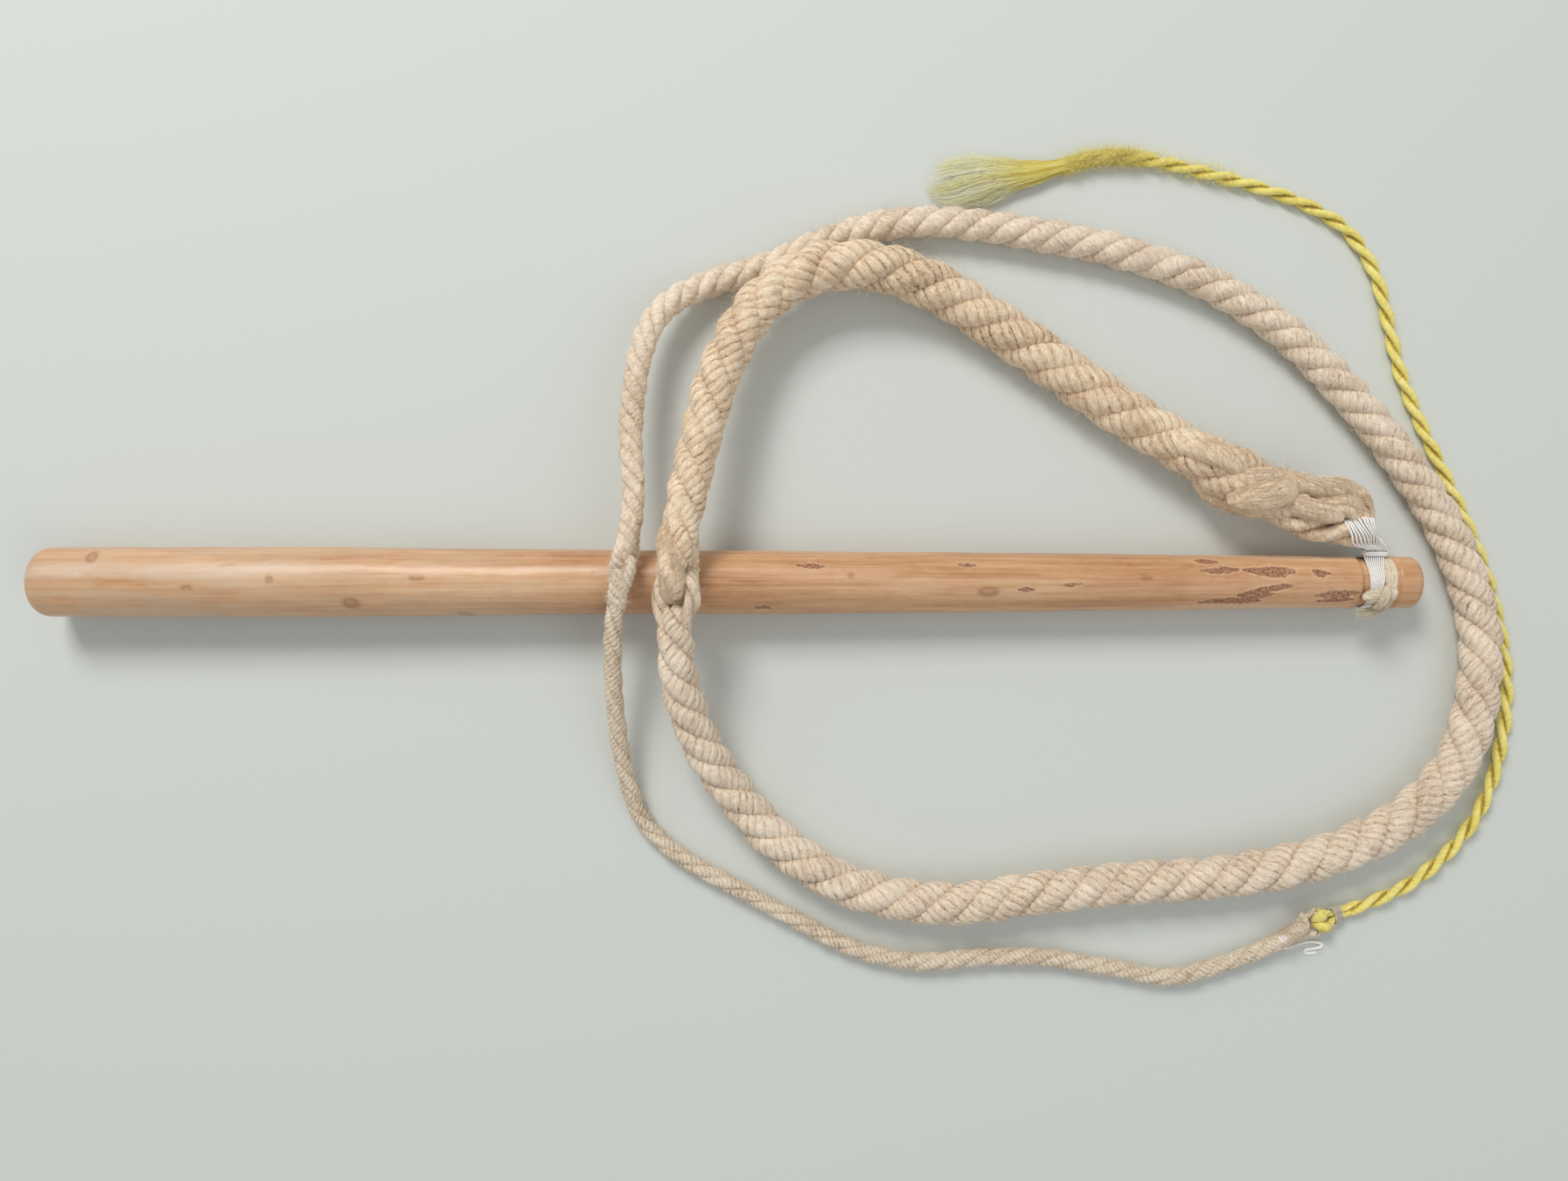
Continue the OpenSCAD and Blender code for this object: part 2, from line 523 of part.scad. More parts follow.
handle();
hitch_loop();
neck_seizing();
hitch_tie();
hitch_knot();
knot_tail();
rope_a_eye();
rope_a_tuck();
rope_a_splice();
rope_a();
rope_a_link_eye();
rope_b_link_eye();
rope_b_splice();
rope_b();
rope_b_end_eye();
rope_c_eye();
rope_c();
rope_c_end_eye();
tie_thread();
cracker_hitch();
cracker_whipping();
cracker();
cracker_tuft();
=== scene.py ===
import math

import bpy
import numpy as np
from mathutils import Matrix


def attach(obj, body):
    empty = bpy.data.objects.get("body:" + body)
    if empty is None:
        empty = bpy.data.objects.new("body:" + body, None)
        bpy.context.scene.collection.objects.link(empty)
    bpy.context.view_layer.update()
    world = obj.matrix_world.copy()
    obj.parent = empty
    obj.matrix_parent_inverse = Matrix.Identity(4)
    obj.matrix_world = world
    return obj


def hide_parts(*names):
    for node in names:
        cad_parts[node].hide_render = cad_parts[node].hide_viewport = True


# Looks of the rope whip: a peeled wooden handle, a twine hitch in the groove at its tip,
# three laid ropes linked eye in eye, and a two-ply yellow cracker with a frayed tuft.
# Shapes are worked out here in millimetres, in the CAD's frame, and made in metres.

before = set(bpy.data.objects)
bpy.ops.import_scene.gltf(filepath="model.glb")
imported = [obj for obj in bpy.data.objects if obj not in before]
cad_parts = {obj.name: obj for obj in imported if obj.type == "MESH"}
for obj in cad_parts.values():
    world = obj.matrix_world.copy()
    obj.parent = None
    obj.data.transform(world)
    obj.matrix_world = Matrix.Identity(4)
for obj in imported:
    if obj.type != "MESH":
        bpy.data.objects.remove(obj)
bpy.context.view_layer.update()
MM = 0.001
UP = np.array([0.0, 0.0, 1.0])
X_AXIS = np.array([1.0, 0, 0])

# ---- camera: straight above, with the photograph's framing ----

CAMERA_AT = (0.0274, -0.0042, 0.608)
LENS, SENSOR = 27.19, 36
NEAREST = 0.02

camera = bpy.data.objects.new("camera", bpy.data.cameras.new("camera"))
bpy.context.scene.collection.objects.link(camera)
camera.location = CAMERA_AT
camera.rotation_euler = (0, 0, 0)
camera.data.lens = LENS
camera.data.sensor_width = SENSOR
camera.data.clip_start = NEAREST
bpy.context.scene.camera = camera

# ---- the handle's axis and radii, as in the CAD ----

HALF_LEN = 343
GRIP_R, TIP_R = 17.5, 13.2
BUTT_ROUND, TIP_ROUND = 7, 4
TILT = math.radians(0.406608)
AXIS_Z = 16.0802
STATIONS = [(-HALF_LEN, GRIP_R), (-200, GRIP_R), (-45, 15.9), (110, 15.3), (290, 13.5), (HALF_LEN, TIP_R)]
HANDLE_ALONG = np.array([math.cos(TILT), 0, -math.sin(TILT)])
HANDLE_UP = np.array([math.sin(TILT), 0, math.cos(TILT)])

# ---- small vector helpers ----


def unit(v):
    return v / np.maximum(np.linalg.norm(v, axis=-1, keepdims=True), 1e-12)


def smoothstep(a, b, x):
    t = np.clip((x - a) / (b - a), 0, 1)
    return t * t * (3 - 2 * t)


LATTICE = np.random.RandomState(3).uniform(-1, 1, 8192)


def noise(p, seed=0):
    """Smooth noise in -1..1 at points p (..., 3)."""
    p = np.asarray(p, float)
    i = np.floor(p).astype(np.int64)
    f = p - i
    f = f * f * (3 - 2 * f)
    total = 0
    for dx in (0, 1):
        for dy in (0, 1):
            for dz in (0, 1):
                h = ((i[..., 0] + dx) * 73856093) ^ ((i[..., 1] + dy) * 19349663)
                h ^= ((i[..., 2] + dz) * 83492791) ^ (seed * 2654435761)
                w = (f[..., 0] if dx else 1 - f[..., 0]) * (f[..., 1] if dy else 1 - f[..., 1])
                w = w * (f[..., 2] if dz else 1 - f[..., 2])
                total = total + w * LATTICE[h % 8192]
    return total


def noise1(x, seed=0):
    x = np.asarray(x, float)
    return noise(np.stack([x, x * 0 + 0.37, x * 0 + 0.71], -1), seed)


def curve(points, steps=20):
    """Smooth curve through the points, the same one as the CAD's."""
    p = np.asarray(points, float)
    p = np.vstack([2 * p[0] - p[1], p, 2 * p[-1] - p[-2]])
    t = np.linspace(0, 1, steps, endpoint=False)[:, None]
    out = []
    for a, b, c, d in zip(p, p[1:], p[2:], p[3:]):
        out.append((2 * b + (c - a) * t + (2 * a - 5 * b + 4 * c - d) * t ** 2
                    + (3 * b - a - 3 * c + d) * t ** 3) / 2)
    return np.vstack(out + [p[-2:-1]])


class Line:
    """A curve sampled evenly, with a side and a rise square to it at each sample."""

    def __init__(self, pts, step=0.4, ref=UP):
        pts = np.asarray(pts, float)
        s = np.r_[0, np.cumsum(np.linalg.norm(np.diff(pts, axis=0), axis=1))]
        self.L = s[-1]
        n = max(12, int(self.L / step))
        self.s = np.linspace(0, self.L, n + 1)
        self.p = np.stack([np.interp(self.s, s, pts[:, k]) for k in range(3)], 1)
        if pts.shape[0] > 3:
            q = self.p.copy()
            for _ in range(2):
                q[1:-1] = (q[:-2] + 2 * q[1:-1] + q[2:]) / 4
            self.p = q
        self.t = unit(np.gradient(self.p, self.s, axis=0))
        if isinstance(ref, str):
            self.side = self.carried()
        else:
            ref = ref(self.p) if callable(ref) else ref
            self.side = unit(np.cross(ref, self.t))
        self.rise = np.cross(self.t, self.side)

    def carried(self):
        """A side that turns as little as it can from one sample to the next."""
        side = np.zeros_like(self.p)
        a = np.cross(UP, self.t[0])
        if np.linalg.norm(a) < 0.1:
            a = np.cross([1.0, 0, 0], self.t[0])
        a = unit(a)
        for i, t in enumerate(self.t):
            a = unit(a - t * (a @ t))
            side[i] = a
        return side

    def at(self, s, field):
        """A number, or a field with a row for each sample, at places along the line."""
        field = np.asarray(field, float)
        if field.ndim == 0:
            field = np.full(len(self.s), field)
        q = np.clip(np.asarray(s) / self.L, 0, 1) * (len(self.s) - 1)
        i = np.minimum(q.astype(int), len(self.s) - 2)
        f = (q - i)[..., None]
        v = field if field.ndim == 2 else field[:, None]
        r = v[i] * (1 - f) + v[i + 1] * f
        return r if field.ndim == 2 else r[..., 0]


def per(line, table):
    """A value along a line, from [(share of its length, value), ...]."""
    xs, ys = zip(*table)
    return np.interp(line.s / line.L, xs, ys)


# ---- meshes ----


class Soup:
    """Vertices, faces and vertex values that become one piece."""

    def __init__(self):
        self.v, self.f, self.u, self.a, self.n = [], [], [], [], 0

    def add(self, v, f, u, a):
        self.v.append(v)
        self.f.extend([np.asarray(g) + self.n for g in f])
        self.u.append(u)
        self.a.append(a)
        self.n += len(v)

    def build(self, name, look, *nodes):
        """Makes the piece; nodes are those of the CAD that it replaces."""
        material, body, slot = look
        v = np.vstack(self.v) * MM
        u = np.vstack(self.u)
        a = np.vstack(self.a)
        quads = [g for g in self.f if g.shape[1] == 4]
        tris = [g for g in self.f if g.shape[1] == 3]
        q = np.vstack(quads) if quads else np.zeros((0, 4), int)
        t = np.vstack(tris) if tris else np.zeros((0, 3), int)
        loops = np.concatenate([q.ravel(), t.ravel()]).astype(np.int32)
        counts = np.concatenate([np.full(len(q), 4), np.full(len(t), 3)]).astype(np.int32)
        starts = np.concatenate([[0], np.cumsum(counts)[:-1]]).astype(np.int32)
        me = bpy.data.meshes.new(name)
        me.vertices.add(len(v))
        me.vertices.foreach_set("co", v.astype(np.float32).ravel())
        me.loops.add(len(loops))
        me.loops.foreach_set("vertex_index", loops)
        me.polygons.add(len(counts))
        me.polygons.foreach_set("loop_start", starts)
        me.polygons.foreach_set("loop_total", counts)
        me.polygons.foreach_set("use_smooth", np.full(len(counts), True))
        layer = me.uv_layers.new(name="UVMap")
        layer.data.foreach_set("uv", u[loops].astype(np.float32).ravel())
        for k, key in enumerate(("cav", "tint", "deep")):
            at = me.attributes.new(key, "FLOAT", "POINT")
            at.data.foreach_set("value", a[:, k].astype(np.float32))
        me.update(calc_edges=True)
        me.validate()
        me.materials.append(material)
        ob = bpy.data.objects.new(name, me)
        bpy.context.scene.collection.objects.link(ob)
        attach(ob, body)
        if nodes:
            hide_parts(*nodes)
        return ob


def grid_faces(rings, sides):
    """Quads of a closed tube with its two end fans, whose centres are the last two points."""
    i, j = np.meshgrid(np.arange(rings - 1), np.arange(sides), indexing="ij")
    a = i * sides + j
    b = i * sides + (j + 1) % sides
    quads = np.stack([a, b, b + sides, a + sides], -1).reshape(-1, 4)
    j = np.arange(sides)
    k = (j + 1) % sides
    centre = rings * sides
    end = (rings - 1) * sides
    cap0 = np.stack([np.full(sides, centre), k, j], 1)
    cap1 = np.stack([np.full(sides, centre + 1), end + j, end + k], 1)
    return [quads, np.vstack([cap0, cap1])]


# how far round a strand its yarns run before they come back under it
SHEAR_TO = math.radians(118)
HIDDEN_SIDES = np.radians([142, 180, 218])
# a yarn's height across its width, from the valley at 0 to the next one at 1
CROWN = {0: 0.0, 0.18: 0.74, 0.2: 0.76, 0.25: 0.8, 0.5: 1.0, 0.75: 0.8, 0.8: 0.76, 0.82: 0.74}


def ridged(soup, line, radius, out, pitch, ny=3, amp=0.16, sides=16, seed=0, tint=0.0,
           deep_from=60, fracs=(0, 0.2, 0.5, 0.8), rough=0.05, full=False, oval=1.0, paint=0.6):
    """A twisted strand along a line: its yarns cross it as puffy ridges with sharp valleys.

    radius and pitch are values along the line, out the direction its best side faces.
    The rings lean with the yarns, so that each valley falls on a row of points."""
    rs = np.random.RandomState(seed)
    pitch = np.broadcast_to(pitch, line.s.shape)
    spots, heights, tints, s = [], [], [], 0.0
    while s < line.L:
        p = np.interp(s, line.s, pitch) * (1 + 0.2 * rs.uniform(-1, 1))
        puff = 1 + 0.35 * rs.uniform(-1, 1)
        shade = rs.uniform(-1, 1)
        for f in fracs:
            spots.append(s + f * p)
            heights.append(1 - puff * (1 - CROWN[f]) if f else -0.25 * rs.uniform(0, 1))
            tints.append(shade)
        s += p
    spots, heights, tints = np.array(spots), np.array(heights), np.array(tints)
    n = len(spots)
    if full:
        phi = np.linspace(-math.pi, math.pi, sides, endpoint=False)
        lean = phi * (1 - smoothstep(2.3, math.pi, np.abs(phi)))
        window = 0.35 + 0.65 * (1 - smoothstep(2.0, math.pi, np.abs(phi)))
    else:
        wide = np.linspace(-SHEAR_TO, SHEAR_TO, sides - 3)
        phi = np.concatenate([wide, HIDDEN_SIDES])
        wrapped = np.where(phi > math.pi, phi - 2 * math.pi, phi)
        lean = np.where(np.abs(wrapped) <= SHEAR_TO + 1e-6, wrapped,
                        np.sign(wrapped) * SHEAR_TO * (math.pi - np.abs(wrapped))
                        / (math.pi - SHEAR_TO))
        window = 1 - 0.9 * smoothstep(1.6, 2.3, np.abs(wrapped))
        phi = wrapped
    at_pitch = np.interp(spots, line.s, pitch)
    bend = noise(np.stack([spots / (3 * at_pitch), spots * 0 + seed, spots * 0], 1), 5) * 0.4
    s_ij = spots[:, None] + (ny * at_pitch / (2 * math.pi))[:, None] * lean[None, :]
    s_ij += (bend * at_pitch)[:, None] * np.sin(phi * 2)[None, :] * 0.35
    s_ij = np.clip(s_ij, 0, line.L)
    c = line.at(s_ij, line.p)
    t = unit(line.at(s_ij, line.t))
    o = line.at(s_ij, out)
    o = unit(o - t * (o * t).sum(-1, keepdims=True))
    side = np.cross(t, o)
    r = line.at(s_ij, radius)
    h = heights[:, None] * window[None, :]
    lump = noise(np.stack([s_ij / (2.2 * at_pitch)[:, None], phi[None, :] * 1.7 + s_ij * 0,
                           s_ij * 0 + seed], -1), 9)
    fine = noise(np.stack([s_ij * 1.9, phi[None, :] * 5 + s_ij * 0, s_ij * 0 + seed], -1), 11)
    high, uneven = line.at(s_ij, amp), line.at(s_ij, rough)
    rr = r * (1 - high + high * np.maximum(h, -0.3) + uneven * lump + uneven * 0.45 * fine)
    # each end closes over a smaller last ring
    ends = np.minimum(s_ij, line.L - s_ij)
    rr = rr * np.where(ends < 1e-9, 0.75, 1)
    p = c + rr[..., None] * (np.cos(phi)[None, :, None] * o
                             + oval * np.sin(phi)[None, :, None] * side)
    v = np.vstack([p.reshape(-1, 3), c[0, 0] - t[0, 0] * r[0, 0] * 0.3,
                   c[-1, 0] + t[-1, 0] * r[-1, 0] * 0.3])
    uu = phi[None, :] * r
    vv = spots[:, None] + uu * 0
    uv = np.vstack([np.stack([uu, vv], -1).reshape(-1, 2), [[0, 0], [0, 0]]])
    # painted shade: darker down the strand's sides, where it runs in against its neighbours
    deep = smoothstep(math.radians(deep_from), math.radians(deep_from + 55), np.abs(phi))
    # painted shade: darker in the valleys between the yarns
    cav = 1 - line.at(s_ij, paint) * (1 - np.clip(h, 0, 1))
    att = np.stack([cav, tints[:, None] * 0.5 + tint + 0 * s_ij, deep[None, :] + 0 * s_ij],
                   -1).reshape(-1, 3)
    att = np.vstack([att, [[0.8, 0, 0.3]] * 2])
    soup.add(v, grid_faces(n, len(phi)), uv, att)
    return soup


def laid(soup, line, d, lead, pitch, strands=3, rc=0.246, rs=0.254, theta=0.0, seed=0, **more):
    """Strands laid round a line, left-handed; each strand's yarns run the other way."""
    d = np.broadcast_to(d, line.s.shape)
    lead = np.broadcast_to(lead, line.s.shape)
    turn = np.concatenate([[0], np.cumsum(2 * math.pi / lead[:-1] * np.diff(line.s))])
    for k in range(strands):
        a = theta - turn + 2 * math.pi * k / strands
        a = a + 0.10 * noise1(line.s / (2.3 * d.mean()), seed * 7 + k)
        out = line.side * np.cos(a)[:, None] + line.rise * np.sin(a)[:, None]
        wob = 1 + 0.03 * noise1(line.s / (1.1 * d.mean()), seed * 11 + k)
        pts = line.p + out * (rc * d * wob)[:, None]
        s = np.r_[0, np.cumsum(np.linalg.norm(np.diff(pts, axis=0), axis=1))]
        strand = Line.__new__(Line)
        strand.L = s[-1]
        strand.s = np.linspace(0, strand.L, len(pts))
        strand.p, even_out = (np.stack([np.interp(strand.s, s, v[:, i]) for i in range(3)], 1)
                              for v in (pts, out))
        strand.t = unit(np.gradient(strand.p, strand.s, axis=0))
        ridged(soup, strand, rs * np.interp(strand.s, s, d * wob), even_out,
               np.interp(strand.s, s, np.broadcast_to(pitch, line.s.shape)),
               seed=seed * 100 + k, tint=0.35 * (k - (strands - 1) / 2), **more)
    return soup


def tubes(soup, lines, radius, sides, taper, tint, cav=0.8, deep=0.0):
    """Many thin fibres at once: lines is (fibres, points, 3), radius one value for each."""
    lines = np.asarray(lines, float)
    m, n, _ = lines.shape
    t = unit(np.gradient(lines, axis=1))
    ref = np.where(np.abs(t[:, :1, 2:3]) > 0.9, np.array([[[1.0, 0, 0]]]), UP[None, None])
    side = unit(np.cross(np.broadcast_to(ref, t.shape), t))
    rise = np.cross(t, side)
    prof = np.interp(np.linspace(0, 1, n), np.linspace(0, 1, len(taper)), taper)
    r = np.broadcast_to(radius, (m,))[:, None] * prof[None, :]
    a = 2 * math.pi * np.arange(sides) / sides + (math.pi / 6 if sides == 3 else 0)
    p = lines[:, :, None] + r[:, :, None, None] * (
        side[:, :, None] * np.cos(a)[None, None, :, None]
        + rise[:, :, None] * np.sin(a)[None, None, :, None])
    v = p.reshape(-1, 3)
    i, j = np.meshgrid(np.arange(n - 1), np.arange(sides), indexing="ij")
    q = np.stack([i * sides + j, i * sides + (j + 1) % sides,
                  (i + 1) * sides + (j + 1) % sides, (i + 1) * sides + j], -1).reshape(-1, 4)
    quads = (q[None] + (np.arange(m) * n * sides)[:, None, None]).reshape(-1, 4)
    cap = np.array([[-k % sides for k in range(sides)], [(n - 1) * sides + k for k in range(sides)]])
    caps = (cap[None] + (np.arange(m) * n * sides)[:, None, None]).reshape(-1, sides)

    def to_points(values):
        return np.broadcast_to(values, (m, n, sides)).reshape(-1)

    share = np.linspace(0, 1, n)
    length = np.linalg.norm(np.diff(lines, axis=1), axis=2).sum(1)[:, None, None]
    u, v_row = share[None, :, None] * length, np.arange(m)[:, None, None] * 1.7
    far = np.interp(share, np.linspace(0, 1, np.size(deep)), np.ravel(deep))[None, :, None]
    att = np.stack([np.full(len(v), cav), to_points(tint[:, None, None]), to_points(far)], 1)
    soup.add(v, [quads, caps], np.stack([to_points(u), to_points(v_row)], 1), att)


def off_handle(p, gap=0.5):
    """Points of the links' fibres, kept that far off the handle under them."""
    x, y, z = p[..., 0], p[..., 1], p[..., 2] - (AXIS_Z - p[..., 0] * math.sin(TILT))
    r = np.hypot(y, z)
    least = np.interp(x, *zip(*STATIONS)) + gap
    push = np.where((x < 100) & (r < least), least / np.maximum(r, 1), 1)
    return np.stack([x, y * push, p[..., 2] + z * (push - 1)], -1)


def seated(soup):
    """The same soup, moved off the handle where it rides on it."""
    for v in soup.v:
        v[:] = off_handle(v, 0.6)
    return soup


def bundle(soup, line, count, width, height=None, radius=0.12, jitter=0.25, points=14, loose=0.15,
           seed=0, skin=False, twist=0.0, tint=0.5):
    """Fibres running with a line, filling a round or flat section of that width and height."""
    rs = np.random.RandomState(seed + 50)
    height = width if height is None else height
    rad = np.sqrt(rs.uniform(0, 1, count)) if not skin else rs.uniform(0.86, 1.04, count)
    ang = rs.uniform(0, 2 * math.pi, count)
    a0 = rs.uniform(0, loose, count)
    a1 = rs.uniform(1 - loose, 1, count)
    share = np.linspace(0, 1, points)[None, :]
    s = (a0[:, None] + (a1 - a0)[:, None] * share) * line.L
    w, h = line.at(s, width) / 2, line.at(s, height) / 2

    def sway(length, apart, kind, seed):
        order = s * 0 + np.arange(count)[:, None] * apart
        return noise(np.stack([s / length, order, s * 0 + kind], -1), seed)

    turn = ang[:, None] + twist * s + 0.5 * sway(9, 3.1, 0, 21)
    x = rad[:, None] * w * np.cos(turn) + jitter * sway(5, 1.7, 2, 22)
    y = rad[:, None] * h * np.sin(turn) + jitter * sway(5, 1.7, 8, 23)
    p = (line.at(s, line.p) + x[..., None] * line.at(s, line.side)
         + y[..., None] * line.at(s, line.rise))
    tubes(soup, off_handle(p), radius * rs.uniform(0.7, 1.3, count), 3, (0.5, 1, 0.2),
          tint=tint * rs.uniform(-1, 1, count), cav=1.0)
    return soup


def hairs(soup, line, d, count, length=(2, 6), radius=0.045, seed=0, lift=0.35, top=True,
          span=(0.02, 0.98), stand=0.5):
    """Stray fibres that stand off a rope, seated in its surface."""
    rs = np.random.RandomState(seed + 90)
    s = rs.uniform(*span, count) * line.L
    ang = rs.uniform(-0.15, math.pi + 0.15, count) if top else rs.uniform(0, 2 * math.pi, count)
    t, side, rise = (line.at(s, f) for f in (line.t, line.side, line.rise))
    out = side * np.cos(ang)[:, None] + rise * np.sin(ang)[:, None]
    r = line.at(s, d) / 2
    around = np.cross(t, out)
    go = unit(t * rs.uniform(-1, 1, count)[:, None] + around * rs.uniform(-1, 1, count)[:, None]
              + out * rs.uniform(0.0, stand, count)[:, None])
    ln = rs.uniform(*length, count)[:, None]
    k = np.linspace(0, 1, 6)[None, :, None]
    base = line.at(s, line.p) + out * (r * rs.uniform(0.82, 0.97, count))[:, None]
    bow = unit(rs.normal(size=(count, 3)))
    p = base[:, None] + go[:, None] * (ln[:, None] * k) + out[:, None] * (
        ln[:, None] * lift * np.sin(k * math.pi * 0.8)) + bow[:, None] * (ln[:, None] * 0.3 * k * k)
    p[..., 2] = np.maximum(p[..., 2], 0.12)
    tubes(soup, off_handle(p), radius * rs.uniform(0.6, 1.3, count), 3, (0.8, 1, 0.3),
          tint=rs.uniform(-0.5, 1, count), cav=1.0)
    return soup


def cord_tube(soup, line, radius, sides=8, flat=1.0, beside=None):
    """A plain tube, its fibres' coordinates along it, with painted shade where it faces its neighbours."""
    n = len(line.s)
    a = 2 * math.pi * np.arange(sides) / sides
    r = np.broadcast_to(radius, (n,)).astype(float)
    p = line.p[:, None] + r[:, None, None] * (
        line.side[:, None] * np.cos(a)[None, :, None]
        + flat * line.rise[:, None] * np.sin(a)[None, :, None])
    v = np.vstack([p.reshape(-1, 3), line.p[0] - line.t[0] * r[0] * 0.3,
                   line.p[-1] + line.t[-1] * r[-1] * 0.3])
    uu = np.broadcast_to(line.s[:, None], (n, sides))
    vv = a[None, :] * r[:, None]
    uv = np.vstack([np.stack([uu, vv], -1).reshape(-1, 2), [[0, 0], [0, 0]]])
    att = np.zeros((len(v), 3))
    att[:, 0] = 1.0
    # painted shade on the sides that face the neighbours
    if beside is not None:
        facing = np.abs(((p - line.p[:, None]) / r[:, None, None] * beside).sum(-1)).reshape(-1)
        att[:-2, 2] = smoothstep(0.45, 0.95, facing)
    soup.add(v, grid_faces(n, sides), uv, att)


# ---- materials ----


def srgb(r, g, b):
    def lin(c):
        c = c / 255
        return c / 12.92 if c <= 0.04045 else ((c + 0.055) / 1.055) ** 2.4
    return (lin(r), lin(g), lin(b), 1)


class Shader:
    """A material with one Principled shader, and short calls that add nodes to its tree."""

    def __init__(self, name, roughness=0.85, sheen=0.0, coat=0.0, coat_roughness=0.2, specular=0.35):
        self.material = bpy.data.materials.new(name)
        self.material.use_nodes = True
        self.tree = self.material.node_tree
        self.ends = self.tree.nodes["Principled BSDF"].inputs
        for key, value in (("Roughness", roughness), ("Specular IOR Level", specular),
                           ("Sheen Weight", sheen), ("Sheen Roughness", 0.6),
                           ("Coat Weight", coat), ("Coat Roughness", coat_roughness)):
            self.ends[key].default_value = value

    def put(self, socket, value):
        """A constant, or another node's output, into a socket."""
        if isinstance(value, bpy.types.NodeSocket):
            self.tree.links.new(value, socket)
        else:
            socket.default_value = value

    def new(self, kind, inputs=(), output=0, **settings):
        """The output of a new node, whose inputs are given as (socket, value) pairs."""
        n = self.tree.nodes.new("ShaderNode" + kind)
        for key, value in settings.items():
            setattr(n, key, value)
        for key, value in inputs:
            self.put(n.inputs[key], value)
        return n.outputs[output]

    def math(self, operation, a, b, clamp):
        return self.new("Math", [(0, a), (1, b)], operation=operation, use_clamp=clamp)

    def mul(self, a, b, clamp=False):
        return self.math("MULTIPLY", a, b, clamp)

    def plus(self, a, b, clamp=False):
        return self.math("ADD", a, b, clamp)

    def minus(self, a, b, clamp=False):
        return self.math("SUBTRACT", a, b, clamp)

    def mix(self, share, a, b):
        return self.new("Mix", [(0, share), (6, a), (7, b)], 2, data_type="RGBA")

    def ramp(self, value, *stops):
        n = self.tree.nodes.new("ShaderNodeValToRGB")
        marks = n.color_ramp.elements
        while len(marks) < len(stops):
            marks.new(0.5)
        for mark, (position, colour) in zip(marks, stops):
            mark.position = position
            mark.color = colour
        self.put(n.inputs[0], value)
        return n.outputs[0]

    def fade(self, value, low, high):
        """Black up to low, white from high on."""
        return self.ramp(value, (low, (0, 0, 0, 1)), (high, (1, 1, 1, 1)))

    def attribute(self, name):
        return self.new("Attribute", output="Fac", attribute_name=name)

    def places(self):
        return self.new("TexCoord", output="Object")

    def texture(self, vector, scale, detail=3, rough=0.6, stretch=(1, 1, 1), distortion=0.0):
        place = self.new("Mapping", [(0, vector), ("Scale", stretch)])
        return self.new("TexNoise", [("Vector", place), ("Scale", scale), ("Detail", detail),
                                     ("Roughness", rough), ("Distortion", distortion)], "Fac")

    def bump(self, height, strength, distance, more=()):
        return self.new("Bump", [("Strength", strength), ("Distance", distance),
                                 ("Height", height), *more])


def fibre_material(name, light, mid, dark, fibre=(0.3, 4.0), mottle=(0.22, 1.3),
                   distance=0.00025, roughness=0.88, sheen=0.15, stain=None, contrast=1.0,
                   groove_shade=0.62):
    """Combed fibre: streaks run along u, painted shade darkens grooves, with uneven dye and felted spots."""
    g = Shader(name, roughness, sheen)
    uv = g.new("UVMap")
    streak = g.texture(uv, 1.0, 3, 0.65, (*fibre, 1), 0.3)
    coarse = g.texture(uv, 1.0, 2, 0.5, (*mottle, 1), 0.4)
    co = g.places()
    felt = g.texture(co, 820, 2)
    broad = g.texture(co, 45, 3, 0.5)
    cav, tint, deep = (g.attribute(k) for k in ("cav", "tint", "deep"))
    # painted shade in the valleys between yarns
    level = g.mul(g.minus(cav, 1.0), 0.42)
    for value, weight in ((streak, 0.75 * contrast), (coarse, 1.25 * contrast),
                          (felt, 0.95 * contrast), (broad, 0.55)):
        level = g.plus(level, g.mul(g.minus(value, 0.5), weight))
    level = g.plus(level, g.mul(tint, 0.12))
    # painted shade down the sides of strands and threads, where they meet their neighbours
    level = g.minus(level, g.mul(deep, groove_shade))
    # the painted valley shade gives way on a strand's sides, so the yarns' edges stay pale where it turns
    # down
    edge = g.mul(g.mul(g.minus(1.0, cav), deep), 0.85)
    level = g.plus(g.plus(level, edge), 0.66, clamp=True)
    colour = g.ramp(level, (0.0, dark), (0.42, mid), (0.8, light), (1.0, light))
    if stain is not None:
        spot = g.fade(g.texture(co, 70), 0.52, 0.70)
        colour = g.mix(g.mul(spot, 0.35), colour, stain)
    g.put(g.ends["Base Color"], colour)
    both = g.plus(g.plus(streak, g.mul(coarse, 1.2)), g.mul(felt, 0.8))
    g.put(g.ends["Normal"], g.bump(both, 0.6, distance))
    return g.material


def tuft_material():
    """Combed-out fibres: strong yellow where they leave the cord, paler towards their ends."""
    g = Shader("yellow_tuft", 0.75, 0.3)
    tint, along = g.attribute("tint"), g.attribute("deep")
    streak = g.texture(g.new("UVMap"), 1.0, 3, 0.6, (0.12, 1.0, 1))
    level = g.plus(g.mul(tint, 0.3), streak, clamp=True)
    throat = g.ramp(level, (0.2, srgb(224, 198, 78)), (0.5, srgb(248, 229, 106)),
                    (0.8, srgb(255, 246, 156)))
    end = g.ramp(level, (0.2, srgb(236, 228, 160)), (0.5, srgb(255, 253, 206)),
                 (0.8, srgb(255, 255, 240)))
    g.put(g.ends["Base Color"], g.mix(along, throat, end))
    return g.material
